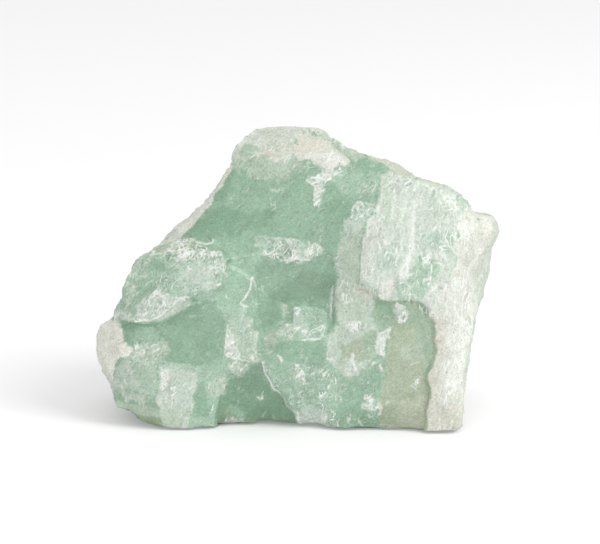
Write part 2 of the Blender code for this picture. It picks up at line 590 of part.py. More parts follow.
def refine(stone, *changes):
    """Makes changes to the stone's mesh, one after another."""
    bm = bmesh.new()
    bm.from_mesh(stone.data)
    for change in changes:
        change(bm)
    bm.to_mesh(stone.data)
    bm.free()
    stone.data = in_order(stone.data)


def set_down(stone, home):
    """Leans the stone back and cuts its foot flat where it rests. The drawing's heights are those of an
    upright front, so they are first brought to the length of the leaning one."""
    lean = math.radians(LEAN_BACK)
    foot = Vector((0, FRONT_DEPTH, FLOOR_AT_FRONT))
    shorter = Matrix.Scale(math.cos(lean), 4, (0, 0, 1))
    stone.data.transform(Matrix.Rotation(-lean, 4, "X") @ shorter @ Matrix.Translation(-foot))
    stone.data.update()
    level = Matrix.Identity(3).to_quaternion()
    cut_away(stone, block("ground", (WIDE, WIDE, WIDE), Vector((0, 0, -WIDE / 2)), level, home))


def centre_on_origin(stone):
    """Scales the stone to metres, with the middle of its underside at the origin."""
    corners = [corner.co for corner in stone.data.vertices]
    low = Vector(min(corner[i] for corner in corners) for i in range(3))
    high = Vector(max(corner[i] for corner in corners) for i in range(3))
    middle = Vector(((low.x + high.x) / 2, (low.y + high.y) / 2, low.z))
    stone.data.transform(Matrix.Scale(MM, 4) @ Matrix.Translation(-middle))
    stone.data.update()


def pale_green():
    """Milky pale green, with the low gloss of a fresh break."""
    material = bpy.data.materials.new("pale_green_beryl")
    material.use_nodes = True
    shader = material.node_tree.nodes["Principled BSDF"]
    shader.inputs["Base Color"].default_value = (0.45, 0.58, 0.46, 1)
    shader.inputs["Roughness"].default_value = 0.45
    shader.inputs["Metallic"].default_value = 0
    return material


for old in list(bpy.data.objects):
    bpy.data.objects.remove(old)
cutters = collection(CUTTERS)
aquamarine = unbroken_stone(collection(COLLECTION))
for break_name, plane in BREAKS.items():
    break_off(aquamarine, break_name, plane, cutters)
for splinter_name, step in SPLINTERS.items():
    splinter(aquamarine, splinter_name, **step, home=cutters)
refine(aquamarine, slice_broad_faces, tidy, bow, take_out_perspective, roughen)
set_down(aquamarine, cutters)
refine(aquamarine, tidy)
centre_on_origin(aquamarine)
aquamarine.data.materials.clear()
aquamarine.data.materials.append(pale_green())
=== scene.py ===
import math

import bmesh
import bpy
import numpy as np
from mathutils import Matrix, Vector, noise
from mathutils.kdtree import KDTree


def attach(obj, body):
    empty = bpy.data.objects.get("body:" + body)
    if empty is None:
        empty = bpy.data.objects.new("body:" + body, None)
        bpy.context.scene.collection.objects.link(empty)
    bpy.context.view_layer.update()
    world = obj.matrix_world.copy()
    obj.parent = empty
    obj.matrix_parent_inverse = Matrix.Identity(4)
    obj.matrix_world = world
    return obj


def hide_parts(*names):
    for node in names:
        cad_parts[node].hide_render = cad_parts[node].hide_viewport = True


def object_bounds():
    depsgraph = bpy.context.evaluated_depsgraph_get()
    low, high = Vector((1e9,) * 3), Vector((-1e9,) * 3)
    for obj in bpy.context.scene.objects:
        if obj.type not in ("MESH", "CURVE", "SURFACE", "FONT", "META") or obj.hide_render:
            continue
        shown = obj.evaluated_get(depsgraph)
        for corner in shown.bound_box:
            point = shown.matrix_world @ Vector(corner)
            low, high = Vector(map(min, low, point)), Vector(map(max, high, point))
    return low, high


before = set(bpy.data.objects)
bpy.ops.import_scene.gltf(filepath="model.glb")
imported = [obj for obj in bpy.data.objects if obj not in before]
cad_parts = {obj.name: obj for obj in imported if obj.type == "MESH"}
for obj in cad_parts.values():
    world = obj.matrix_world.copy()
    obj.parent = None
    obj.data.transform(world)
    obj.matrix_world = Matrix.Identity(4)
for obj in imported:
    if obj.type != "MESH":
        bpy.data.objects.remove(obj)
cad_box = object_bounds()
MM = 0.001


# The view
# The stone is seen square on to its broad front break, from a little above and through a long lens. What shows
# on the front is placed by where it appears from there: x millimetres to the right of the stone's middle and z
# above its lowest edge, measured at the depth of the front.

LENS = 150.0
SENSOR = 36.0
LOOK_DOWN = math.radians(12.0)
FRONT_DISTANCE = 312.5 * MM
FRONT_MIDDLE = Vector((0.3, -11.95, 20.55)) * MM  # what the lens points at
MIDDLE_X = 0.375  # the x and z of that point
MIDDLE_Z = 20.7
Z_STRETCH = 1.022  # the front leans back, so its heights look this much shorter


def put(name, data):
    """A new object in the scene."""
    made = bpy.data.objects.new(name, data)
    bpy.context.scene.collection.objects.link(made)
    return made


toward_eye = Vector((0.0, -math.cos(LOOK_DOWN), math.sin(LOOK_DOWN)))
rightward = Vector((1.0, 0.0, 0.0))
upward = toward_eye.cross(rightward)
eye = FRONT_MIDDLE + toward_eye * FRONT_DISTANCE

lens = bpy.data.cameras.new("view")
lens.lens = LENS
lens.sensor_width = SENSOR
lens.clip_start = 10 * MM
view = put("view", lens)
view.location = eye
view.rotation_euler = toward_eye.to_track_quat("Z", "Y").to_euler()
bpy.context.scene.camera = view


# The stone: form
# One piece of pale green beryl, broken on every side. Its large facets and ledges are those of the solid. Here
# the solid's triangles are cut small enough to carry the finer relief, and the bends between them are eased, but
# the ledges stay sharp, as breaks in so brittle a stone are.

FINE_EDGE = 0.325  # the longest side of a triangle, in millimetres, where it faces the eye
COARSE_EDGE = 0.64  # and where it doesn't
CUTS = 4
LEDGE_ANGLE = math.radians(24.0)  # facets that meet more sharply make a ledge or a crease
LEDGE_SPACING = 0.2
LEDGE_REACH = 2.0  # how far off it is looked for
LEDGE_KEEP = (0.05, 0.5)  # how near to a ledge the easing fades out
LEDGE_GIVE = 0.4  # the share of the easing that a ledge gets
EASING = 14  # rounds
EASING_STEP = 0.8
BACK_GIVE = 0.45  # the back is eased less
BACK_FADE = (-0.3, 0.1)
FOOT_FADE = (0.05, 0.9)  # the foot stays flat
BLUNTING = 60  # rounds that wear thin tips away
TIP = (0.045, 0.09)  # how far a point stands out from its neighbours, on a fair edge and on a tip
SLIVER = (4.3, -3.9, 36.1)  # a thin tip that the break at the top leaves behind it
SLIVER_REACH = (2.2, 1.0)
CREST_LIFT = 1.1  # easing wore the crest down
CREST_BACK = 1.5
CREST_FADES = [(2, 32.5, 36.0), (0, -5.5, 0.5), (0, 6.5, 3.6)]  # axis, and where it fades in

bm = bmesh.new()
bm.from_mesh(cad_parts["aquamarine"].data)
bmesh.ops.remove_doubles(bm, verts=bm.verts, dist=MM / 1000)
bm.transform(Matrix.Scale(1 / MM, 4))
bm.normal_update()

ledges = [edge for edge in bm.edges if edge.calc_face_angle_signed(0) > LEDGE_ANGLE]
creases = [edge for edge in bm.edges if edge.calc_face_angle_signed(0) < -LEDGE_ANGLE]


def tree_along(edges):
    """A search tree of points spaced along edges."""
    points = []
    for edge in edges:
        start, end = (corner.co for corner in edge.verts)
        steps = max(1, round((end - start).length / LEDGE_SPACING))
        points += [start.lerp(end, step / steps) for step in range(steps + 1)]
    tree = KDTree(len(points))
    for i, point in enumerate(points):
        tree.insert(point, i)
    tree.balance()
    return tree


ledge_tree = tree_along(ledges)
crease_tree = tree_along(creases)


def longest(edge):
    """How long an edge may be."""
    seen = any(face.normal.dot(toward_eye) > 0 for face in edge.link_faces)
    return FINE_EDGE if seen else COARSE_EDGE


for _ in range(CUTS):
    long_edges = [edge for edge in bm.edges if edge.calc_length() > longest(edge)]
    bmesh.ops.subdivide_edges(bm, edges=long_edges, cuts=1)
    bmesh.ops.triangulate(bm, faces=[face for face in bm.faces if len(face.verts) > 3])

mesh = bpy.data.meshes.new("stone")
bm.to_mesh(mesh)
bm.free()

count = len(mesh.vertices)
places = np.empty(count * 3)
mesh.vertices.foreach_get("co", places)
places = places.reshape(-1, 3)
pairs = np.empty(len(mesh.edges) * 2, int)
mesh.edges.foreach_get("vertices", pairs)
pairs = pairs.reshape(-1, 2)
neighbours = np.bincount(pairs.ravel(), minlength=count)
to_eye = np.array(toward_eye)


def distances(tree, points):
    """How far each point lies from the nearest in a search tree, up to the reach of a ledge."""
    return np.minimum([tree.find(point)[2] for point in points.tolist()], LEDGE_REACH)


def blurred(values):
    """Each point's values averaged over its neighbours."""
    total = np.empty_like(values)
    for axis in range(values.shape[1]):
        column = values[:, axis]
        total[:, axis] = (
            np.bincount(pairs[:, 0], column[pairs[:, 1]], count)
            + np.bincount(pairs[:, 1], column[pairs[:, 0]], count)
        )
    return total / neighbours[:, None]


def normals_at(places):
    """Which way the surface faces at each point, once the points are moved there."""
    mesh.vertices.foreach_set("co", places.ravel())
    mesh.update()
    normals = np.empty(count * 3)
    mesh.vertex_normals.foreach_get("vector", normals)
    return normals.reshape(-1, 3)


def smooth(values, low, high):
    """0 up to low, 1 from high, and an even curve between. High may be the lower of the two."""
    share = np.clip((values - low) / (high - low), 0, 1)
    return share * share * (3 - 2 * share)


from_ledge = distances(ledge_tree, places)
from_crease = distances(crease_tree, places)
give = LEDGE_GIVE + (1 - LEDGE_GIVE) * smooth(np.minimum(from_ledge, from_crease), *LEDGE_KEEP)
give *= smooth(places[:, 2], *FOOT_FADE)
give *= BACK_GIVE + (1 - BACK_GIVE) * smooth(normals_at(places) @ to_eye, *BACK_FADE)
for _ in range(EASING):
    places += (blurred(places) - places) * give[:, None] * EASING_STEP
for _ in range(BLUNTING):
    step = blurred(places) - places
    step *= smooth(places[:, 2], *FOOT_FADE)[:, None]
    places += step * smooth(np.linalg.norm(step, axis=1), *TIP)[:, None]

sliver = smooth(np.linalg.norm(places - SLIVER, axis=1), *SLIVER_REACH)[:, None]
for _ in range(BLUNTING):
    places += (blurred(places) - places) * sliver
crest = np.prod([smooth(places[:, axis], low, high) for axis, low, high in CREST_FADES], axis=0)
places[:, 1] += CREST_BACK * crest
places[:, 2] += CREST_LIFT * crest


# The stone: zones
# The beryl is clear green where it is sound, milky where fine healed cracks cloud it, and crushed to white sugar
# where it broke hard. The ends and the top still have a thin skin of cream and sand coloured weathering. Painted
# shade darkens a notch, the undercut, the recess and thin lines along cracks and edges, and painted light brightens
# the cream of the left end and the flank.

GREEN = (152, 186, 159)
LEAF = (169, 198, 175)
DEEP = (133, 170, 141)
# the next colour is the darkest green, which also serves as painted shade in a notch, the undercut, the recess, and
# along cracks and under edges
DARK_GREEN_AND_PAINTED_SHADE = (116, 152, 122)
OLIVE = (169, 183, 155)
MOSS = (158, 176, 142)
PALE = (189, 205, 185)
ICE = (203, 216, 202)
MILK = (207, 217, 204)
CREAM = (222, 224, 212)
# the next colour is the cream skin laid brighter, as painted light, for the left end and the flank, which face away
# from the lamp
CREAM_WITH_PAINTED_LIGHT = (246, 245, 234)
SAND = (216, 213, 197)
WHITE = (240, 242, 237)
RUST = (168, 152, 122)

# Patches, in the order that they are laid: colour, how strong, how soft its edge is, how crushed, and its outline,
# as x and z of each corner in turn
PATCHES = {
    "under the cap": (PALE, 0.75, 1.2, 0.2, [-8.2, 34.6, -5, 35.8, 0, 35.6, 1.2, 34.6, -0.5, 33.2, -2, 32.4, -4, 32.6,
        -6, 33.2, -7.6, 33.6]),
    "face right": (LEAF, 0.9, 1, 0.2, [4.2, 33.4, 6, 34.2, 10.6, 33.2, 10.4, 30.6, 8.4, 30.4, 6, 30.6]),
    "deep corner": (DEEP, 0.9, 0.8, 0, [-14.4, 25.2, -13, 26.8, -11.4, 28.6, -9.4, 29.2, -7, 28.4, -4.4, 28.6,
        -2.6, 28.8, -3.4, 27.4, -5, 26.4, -7.4, 25.6, -9.4, 25]),
    "left margin": (DEEP, 0.6, 0.5, 0, [-10.4, 30.2, -9.4, 31.8, -8.3, 33.9, -7.6, 33.4, -8.3, 31.4, -9.6, 29.4]),
    "face low right": (DEEP, 0.5, 0.8, 0, [3.4, 30.4, 6.2, 30, 6.6, 28, 5.6, 26.4, 5, 24.4, 4.6, 22.6, 3.2, 22.8,
        3.1, 25, 3.2, 28]),
    "cap": (CREAM, 0.8, 0.5, 0.3, [-8.6, 35, -8.4, 37, -6, 39.4, -4.9, 40.4, 6.2, 40, 8.4, 36.6, 6.2, 36.7, 4.6, 37,
        3, 38.2, 0.9, 38.6, -0.1, 37.6, -0.8, 36.4, -0.3, 35.4, -1.8, 34.8, -3.2, 35.1, -4.3, 35.8, -6, 35.2,
        -7.2, 35]),
    "cap green": (GREEN, 0.7, 0.4, 0, [-7.3, 36, -6.3, 37.1, -5.1, 37, -4.7, 36.2, -6, 35.4, -7, 35.3]),
    "cap sand": (SAND, 0.55, 0.5, 0.3, [-5.6, 36, -3.6, 36.2, -1.2, 36.2, -0.9, 37.6, -1.6, 37.4, -2, 35.6, -4, 35.2,
        -5.4, 35.4]),
    "cap crest": (CREAM, 0.5, 0.4, 0.1, [-6.4, 38.2, -4.9, 39.1, -0.9, 38.7, 0.9, 39.1, 3.4, 38.4, 7.4, 36.4, 7.4, 37,
        3.4, 40, -6, 40]),
    "behind the scar": (PALE, 0.9, 0.2, 0.2, [2.6, 38, 4, 38.8, 8.4, 36.6, 8.4, 35.4, 7.2, 34.8, 6.6, 35.2,
        4.6, 36.6]),
    "scar": (CREAM, 1, 0.15, 0.1, [-0.6, 36.5, 0.3, 38.2, 1.5, 38.5, 3, 38, 4.5, 36.9, 5.9, 35.9, 6.6, 35.1,
        6.3, 34.3, 5.3, 34.2, 4, 33.7, 3, 34, 1.8, 34.9, 0.1, 35.1, -0.5, 35.6]),
    "scar sand": (SAND, 0.6, 0.5, 0, [-0.5, 36.5, 0.3, 38.2, 1.5, 38.5, 3.4, 37.7, 4.2, 36.8, 3, 36.7, 1.2, 36.3,
        0.5, 35.3]),
    "scar white": (WHITE, 0.45, 0.4, 0.15, [1, 35.4, 2.2, 36, 4.6, 36, 5.8, 35.5, 6.3, 34.6, 5.2, 34.5, 3.4, 34.4,
        2, 35]),
    "top strip": (SAND, 0.75, 0.25, 0.1, [8, 36.6, 12.9, 34.9, 15.3, 33.2, 14.8, 32.5, 12.8, 33.1, 11.4, 34.1,
        9, 35.2]),
    "top strip right": (SAND, 0.7, 0.2, 0.1, [15, 33.2, 19.6, 31.9, 20.3, 31, 17.5, 31.6, 15.2, 32.3]),
    "vein": (ICE, 0.75, 0.35, 0.75, [1.4, 32.7, 2.6, 33.2, 3.9, 33.7, 5.2, 34.1, 5.6, 33.7, 4.3, 33.1, 3.5, 31.8,
        3, 30.4, 2.7, 29.2, 2.1, 29.2, 2.2, 30.8, 1.9, 31.9]),
    # painted light: the flank's cream skin is laid brighter than it is, as the flank faces away from the lamp
    "flank": (CREAM_WITH_PAINTED_LIGHT, 0.8, 0.15, 0.35, [-19, 23.2, -18, 25, -9.4, 35, -8, 35, -8.3, 33.8, -9, 32.3, -10, 30.8, -11, 29,
        -12, 28, -13, 26.8, -14.3, 25.3, -15.6, 24.6]),
    "flank foot": (PALE, 0.6, 0.5, 0.2, [-19, 23, -18, 25, -15.6, 26.4, -14.6, 25.6, -15.6, 24.6]),
    "shelf": (PALE, 0.85, 0.3, 0.9, [-18.8, 23.1, -16.2, 24, -15.1, 24.8, -13.6, 25, -12.4, 24.6, -11.5, 24,
        -10.4, 23.4, -9.4, 23.2, -9.2, 22.6, -10.9, 22.4, -12.2, 22, -13.4, 22.4, -14.4, 21.9, -15.4, 22.8,
        -17.4, 22.9]),
    "shelf gap left": (DEEP, 0.75, 0.3, 0.2, [-16.3, 23, -15.2, 23.1, -14.8, 22.3, -15.9, 21.9, -16.5, 22.4]),
    "shelf gap right": (DEEP, 0.8, 0.25, 0.1, [-13.6, 24.5, -12.9, 24.8, -12.2, 24.2, -11.2, 23.7, -12.5, 23.6,
        -13.6, 24]),
    "shelf sand": (SAND, 0.5, 0.3, 0.3, [-18.4, 23.1, -16, 23.8, -14, 24.6, -12.6, 24.4, -13.8, 23.9, -16, 23.3]),
    "lobe": (LEAF, 0.85, 0.35, 0.3, [-21.4, 22.4, -19, 23.2, -16.4, 22.8, -14, 21.9, -11.8, 22.3, -9.4, 22.6,
        -8.3, 21.5, -8.6, 19.6, -9.6, 18.7, -11, 18.6, -13, 17.6, -15, 17.2, -16.5, 15.9, -18, 14.6, -20.3, 14.4,
        -23.6, 15, -24, 17]),
    "lobe green high": (DEEP, 0.65, 0.5, 0.25, [-19.6, 22.1, -17.8, 22.3, -16.2, 21.8, -16.6, 20.8, -18.2, 20.8,
        -19.5, 21.1]),
    "lobe green low": (GREEN, 0.8, 0.5, 0.2, [-20.8, 20, -18.8, 19.8, -18.2, 18.4, -19.4, 17.4, -20.8, 18.2]),
    "lobe pale": (ICE, 0.7, 0.9, 0.2, [-14.8, 21.4, -12, 22, -10.6, 21.2, -10, 19.6, -11.4, 18.9, -13.2, 19.3,
        -14.6, 19.8]),
    "lobe crackle": (PALE, 0.4, 0.6, 0.5, [-21.6, 15.6, -21.2, 20.6, -20, 22.4, -18.2, 22.6, -18.2, 21.6, -19.6, 20.8,
        -20.2, 18, -20.9, 15.4]),
    "lobe crackle right": (PALE, 0.5, 0.3, 0.75, [-10.6, 22.6, -9, 22.5, -8.7, 21, -9, 20.2, -10.3, 20.3]),
    "lobe crackle low": (ICE, 0.5, 0.3, 0.4, [-12.4, 19.2, -11, 18.7, -9.8, 18.7, -9.4, 19.2, -11, 19.5]),
    "lobe flake": (ICE, 0.8, 0.35, 0.6, [-20.2, 15, -20, 16.5, -18.9, 17.5, -17.2, 18.2, -15.8, 17.6, -14.9, 17.2,
        -16.4, 15.7, -17.6, 14.9, -19.4, 14.5]),
    "lobe corner": (ICE, 0.6, 0.25, 0.7, [-23.4, 15.2, -22.2, 15.8, -20.8, 15.4, -20.4, 14.6, -22, 14.6]),
    "under the lobe": (ICE, 0.85, 0.12, 0.2, [-17.4, 14.3, -15, 15.4, -13.3, 16.4, -13.1, 17.1, -13.6, 17.3,
        -14.8, 17.1, -15.6, 16.3, -16.6, 15.4, -17.8, 14.7]),
    "beside the lobe": (LEAF, 0.8, 0.2, 0.2, [-13.3, 16.4, -11.5, 16.5, -10, 16.9, -9.3, 17.6, -9.6, 18.5, -11, 18.4,
        -12.6, 17.7, -13.2, 17.1]),
    # painted shade: the notch beside the lobe is laid darker
    "lobe notch": (DARK_GREEN_AND_PAINTED_SHADE, 0.6, 0.25, 0, [-13.1, 17.6, -12.5, 17.7, -12.4, 17, -12.9, 16.9]),
    "left facet": (DEEP, 0.9, 0.35, 0, [-22, 14.3, -19, 14.3, -17, 14.2, -15, 15.4, -13.4, 16.3, -11.5, 16.5,
        -10, 16.9, -10, 15.9, -9.3, 15.2, -8.7, 14.5, -8.9, 12.4, -9.1, 10, -9.5, 9.2, -12, 8.8, -14, 9.2, -16, 9.6,
        -15.9, 10.8, -16.6, 12, -18.5, 11.8, -20.9, 11.1, -21.9, 13]),
    "left facet deep": (DEEP, 0.9, 0.9, 0, [-14.4, 15.6, -10.2, 16.9, -9, 15, -8.9, 13.2, -11, 12.6, -13.8, 13.6]),
    "left facet light": (LEAF, 0.5, 0.6, 0.2, [-21.4, 13.2, -18, 13.8, -16.8, 13.2, -17.4, 12.2, -19.4, 11.8,
        -21, 11.8]),
    "crushed corner": (PALE, 0.7, 0.8, 0.4, [-22.2, 10.8, -20.2, 11.4, -16.6, 12, -15.9, 11.2, -16.5, 9.3, -19, 8.9,
        -22.2, 9.2]),
    "crushed core": (ICE, 0.5, 0.35, 0.9, [-20.4, 11.3, -18.8, 11.5, -17.8, 11.1, -17.8, 10.2, -19, 9.9, -20.2, 10]),
    # painted light: the left end's cream skin is laid brighter than it is, as the end faces away from the lamp
    "left end": (CREAM_WITH_PAINTED_LIGHT, 0.95, 0.25, 0.2, [-26, 15, -23.9, 14.7, -22.5, 14.4, -22.1, 13.2, -21.4, 11.4, -20.6, 10.9,
        -21.2, 9.8, -22.5, 9.4, -23, 7.6, -22.9, 5.6, -23.6, 4, -27, 8]),
    "left end margin": (CREAM, 0.65, 0.4, 0.05, [-26, 14, -24.9, 12.8, -24.6, 11, -24, 9, -23.2, 7.4, -22.9, 5.6,
        -23.6, 4, -27, 8]),
    "left end top": (GREEN, 0.6, 0.25, 0.35, [-23.4, 15.2, -22, 14.9, -21.7, 14.1, -22.8, 14.1]),
    "low left": (ICE, 0.75, 1.3, 0.2, [-22.7, 8.8, -21, 9, -18, 9, -17.5, 8.4, -17.5, 5.4, -18.2, 4.6, -20, 5,
        -22, 5.2, -23.4, 5.6]),
    "low left green": (GREEN, 0.4, 0.7, 0.1, [-20.6, 8.6, -18, 8.6, -17.6, 7, -17.8, 5.6, -19.4, 5.8]),
    "low left pale": (ICE, 0.75, 0.35, 0.2, [-21.9, 5.3, -20, 5.4, -18.8, 4.9, -18.8, 4.2, -19.3, 3.6, -20, 4.1,
        -21.6, 3.9]),
    "low left band": (PALE, 0.75, 0.3, 0.2, [-23.4, 4.4, -20.6, 3.8, -19, 3.5, -17.2, 3.6, -16.8, 2, -19.8, 2.3,
        -21.2, 3, -23.4, 3.2]),
    "olive strip": (MOSS, 0.95, 0.12, 0, [-21.2, 2.9, -19.8, 2.25, -17.2, 2.05, -16.8, 0.4, -20, 0.4, -22, 2]),
    "prism": (ICE, 0.85, 0.2, 0.2, [-17.3, 8.6, -16.2, 9.1, -14, 9, -12.3, 8.4, -12.4, 6.8, -12.8, 5, -13, 2.8,
        -13.8, 2.2, -14, 0, -16.8, 0, -17, 1.9, -17.2, 3.6, -17.9, 4.2, -17.4, 5.2]),
    "prism foot": (PALE, 0.75, 0.5, 0.2, [-17, 3, -15, 3.6, -13.4, 3, -13.6, 0, -17, 0]),
    "prism shine": (WHITE, 0.6, 0.25, 0.6, [-16.9, 8.5, -16.2, 8.2, -16, 7.2, -16.6, 6.2, -16.9, 5, -17.3, 5.1,
        -17.1, 7]),
    "prism crackle": (WHITE, 0.35, 0.3, 0.75, [-17.9, 4.9, -17.2, 5, -15.2, 5, -14.9, 4.4, -16.4, 4.1, -17.7, 3.6]),
    "prism foot crackle": (WHITE, 0.4, 0.2, 0.7, [-14.5, 1.2, -14.2, 2, -13.7, 1.8, -13.7, 0.9, -14.4, 0.5]),
    "beside the prism": (LEAF, 0.7, 0.25, 0.15, [-12.3, 8.2, -11, 8.6, -9.4, 8.8, -8.9, 7.6, -9.3, 5.4, -10.2, 4.6,
        -10, 2.2, -10, -1, -13.6, -1, -13.4, 2.2, -12.9, 2.8, -12.7, 5]),
    "fade over the prism": (GREEN, 0.65, 0.7, 0.12, [-16.6, 10, -12, 9.9, -9, 10.2, -8.9, 8, -12, 7.8, -15, 8.2,
        -16.8, 8.6]),
    "beside the prism deep": (DEEP, 0.6, 0.4, 0, [-12.5, 6.6, -11.6, 6.8, -11.4, 4.6, -10.6, 3.6, -11.4, 2.2,
        -12.8, 2.4, -12.8, 5]),
    "beside the prism pale": (PALE, 0.7, 0.4, 0.4, [-11.2, 6, -9.4, 7.8, -8.9, 7.4, -9.2, 5, -10.4, 5]),
    "flake": (GREEN, 0.8, 0.15, 0.12, [-8.4, 21.9, -6.3, 20.2, -5.6, 20, -5.3, 19.5, -5.2, 18.5, -5.3, 17, -5.6, 16,
        -6.2, 15.2, -7, 14.7, -8.5, 14.4, -9.3, 15.2, -10, 16, -9.9, 17, -9.2, 18.6, -8.6, 19.6]),
    "flake pale": (LEAF, 0.7, 0.5, 0.2, [-9.8, 16.4, -8, 17, -6.6, 16.4, -6.2, 15.4, -7.4, 14.6, -8.6, 14.6,
        -9.4, 15.3]),
    "flake foot": (PALE, 0.75, 0.2, 0.25, [-8.5, 14.4, -8.7, 13, -9, 11.5, -9, 10.2, -8.6, 9.7, -7.5, 9.5, -6, 9.3,
        -5, 9.1, -4.9, 10.4, -5.1, 12, -5.3, 14.8, -6.5, 14.9, -7.6, 14.6]),
    "flake foot green": (LEAF, 0.8, 0.4, 0.2, [-7.6, 14.2, -6.2, 14.4, -5.8, 13, -6.6, 12.2, -7.4, 12.6]),
    "flake foot white": (WHITE, 0.5, 0.3, 0.7, [-8.6, 13.6, -9, 11.5, -9, 10.2, -8.4, 9.8, -7.4, 9.8, -7.4, 10.8,
        -7.9, 12, -8.2, 13.2]),
    "under the flake": (PALE, 0.7, 0.3, 0.4, [-8.6, 8.6, -7.6, 9.4, -6, 9.1, -5.7, 8, -6.4, 7.3, -7.6, 7.3]),
    # painted shade: the undercut at the foot, and its deeper part, are laid in the darkest green, partly the clear
    # stone's own deep green and partly painted shade
    "undercut": (DARK_GREEN_AND_PAINTED_SHADE, 0.62, 0.25, 0, [-8.6, 6, -8.2, 7, -6.6, 7.4, -5.7, 8.7, -4.6, 9, -4.2, 8.2, -3.7, 7.2,
        -2.5, 5.3, -1.5, 4.1, -1.1, 3.2, -0.3, 2.5, 0.1, 1.3, 0, -1, -10, -1, -10, 3, -9.6, 4.8, -8.8, 5]),
    "undercut deep": (DARK_GREEN_AND_PAINTED_SHADE, 0.3, 0.5, 0, [-8.2, 6.6, -5.6, 8.4, -4.6, 8.8, -4.2, 7.6, -3, 5.4, -5, 5.2, -8.2, 5.2]),
    "undercut light": (MOSS, 0.4, 0.6, 0, [-9.8, 3.4, -8.6, 3.2, -6, 1.9, 0, 1.9, 0, 0.6, -10, 0]),
    "undercut chip": (GREEN, 0.85, 0.12, 0, [-8.3, 3.7, -7.3, 3.3, -6.5, 2.5, -6.6, 1.7, -7.4, 1.9, -7.9, 2.6]),
    "undercut crumbs": (WHITE, 0.55, 0.2, 0.8, [-9.3, 1.6, -8.2, 2.1, -7.4, 1.7, -6.6, 1.9, -6.7, 1.3, -8, 1.15,
        -9.2, 1.2]),
    "undercut fleck": (ICE, 0.6, 0.3, 0.8, [-5.1, 4.9, -4.4, 5.2, -4.2, 4.6, -4.8, 4.3]),
    "recess": (DEEP, 0.9, 0.5, 0, [-5.1, 14, -5.2, 21.4, -4, 22.2, -1.6, 21.6, 0, 21.4, 1.5, 21.8, 3.2, 22.8, 4.6, 22,
        5, 20, 4.8, 17, 4.9, 14.4, 3.8, 12.4, 3.4, 15.6, 1.2, 16.6, -0.2, 16.4, -0.6, 14.6, -2.4, 14.2, -3.6, 13.4,
        -5.1, 13.4]),
    # painted shade: the deepest part and the corner of the recess are laid in the darkest green, partly the clear
    # stone's own deep green and partly painted shade
    "recess deep": (DARK_GREEN_AND_PAINTED_SHADE, 0.8, 0.9, 0, [-1.4, 19.4, 0.4, 20.4, 3.4, 20.6, 4.6, 19.6, 4.6, 17.4, 3, 16.9, 0.5, 17,
        -2.2, 16.8, -3.6, 17.6, -2.4, 18.6]),
    "recess corner": (DARK_GREEN_AND_PAINTED_SHADE, 0.5, 0.4, 0, [-4.9, 14.2, -3.8, 16.6, -2.4, 17, -2.3, 15, -3, 13.9]),
    "recess chip": (PALE, 0.75, 0.12, 0.2, [-2.2, 16.9, -1.2, 16.4, -1.35, 15.2, -1.8, 15]),
    "left step": (PALE, 0.65, 0.9, 0.4, [-4.6, 10.6, -4, 12.4, -3, 13.4, -1.6, 14.2, -0.5, 14.2, 0, 12.8, -0.6, 11.9,
        -2, 12.1, -3.2, 11.6, -3.8, 10.4]),
    "right step": (LEAF, 0.7, 0.3, 0.2, [-0.1, 16.3, 1, 16.5, 2.8, 16.2, 3.6, 15.6, 3.7, 13, 3.6, 12.2, 0.3, 12.1,
        -0.6, 14]),
    "right step pale": (ICE, 0.55, 0.6, 0.5, [-0.3, 16.1, 0.3, 16.1, 1.2, 14.2, 2, 12.8, 0.4, 12.3, -0.4, 13.6]),
    "lower centre": (DEEP, 0.6, 0.6, 0.06, [-2.8, 11.4, -0.5, 11.8, 3.7, 12, 3.8, 9.6, 3.6, 8.6, 0.2, 8.6, -1.4, 9.2,
        -2.6, 10]),
    "low centre": (LEAF, 0.6, 0.6, 0.52, [-3.9, 8.4, 0, 8.6, 5, 8.2, 5.2, 1, 0.6, 0, -0.6, 3.2, -2, 5.2, -3.4, 7.2]),
    "low centre green": (GREEN, 0.7, 0.5, 0.1, [-3.2, 8.2, -1, 8.8, -0.4, 7, -0.6, 5.4, -2.2, 6.4]),
    "low centre arc": (ICE, 0.75, 0.25, 0.65, [-0.1, 8.8, 0.3, 8.7, 1.1, 7.4, 1.1, 6.4, 0.4, 6.3, 0, 7.4]),
    "scallops": (ICE, 0.8, 0.3, 0.2, [0, 0.6, 0.1, 2.6, 0.6, 3.4, 1.6, 3.6, 3, 3.2, 3.9, 2.8, 3.9, 1.4, 2.6, 0.6]),
    "scallop edge": (WHITE, 0.6, 0.2, 0.7, [3, 2.4, 3.5, 2.6, 4, 2.2, 3.8, 1.3, 3.2, 1.2]),
    "crushed ledge": (LEAF, 0.75, 0.35, 0.5, [-5.4, 25.5, -3.2, 25.3, -1.8, 24.9, 0, 24.7, 1.5, 24.5, 2.6, 24.4,
        3.1, 23.6, 2.9, 22.9, 1.8, 22.2, 0, 21.6, -1.2, 21.8, -1.9, 22.6, -3.6, 22.6, -5, 23.2]),
    "crushed ledge core": (PALE, 0.4, 0.5, 0.85, [-1.9, 23.6, -1.4, 24.8, 0, 24.4, 1.4, 24.3, 1.9, 23.8, 1.6, 22.4,
        0.4, 22.1, -1.2, 21.9, -1.6, 22.6]),
    "low right": (DEEP, 0.45, 0.6, 0.3, [5, 7.4, 5.5, 5, 5.4, 2, 6, -1, 10.3, -1, 10.4, 3, 10.6, 6, 10.8, 9.6,
        10.2, 9.8, 9.2, 8.4, 7.8, 7.6, 6.4, 7.2]),
    "low right deep": (DEEP, 0.35, 0.6, 0.3, [4.4, 2.4, 7.6, 2.2, 8.6, 3, 10.3, 2.8, 10.3, 0, 5.2, 0]),
    "low right crumbs": (ICE, 0.5, 0.5, 0.8, [8.2, 3.2, 8.6, 4.6, 9.4, 4.8, 10.2, 4.3, 10.2, 3.3, 9.3, 3]),
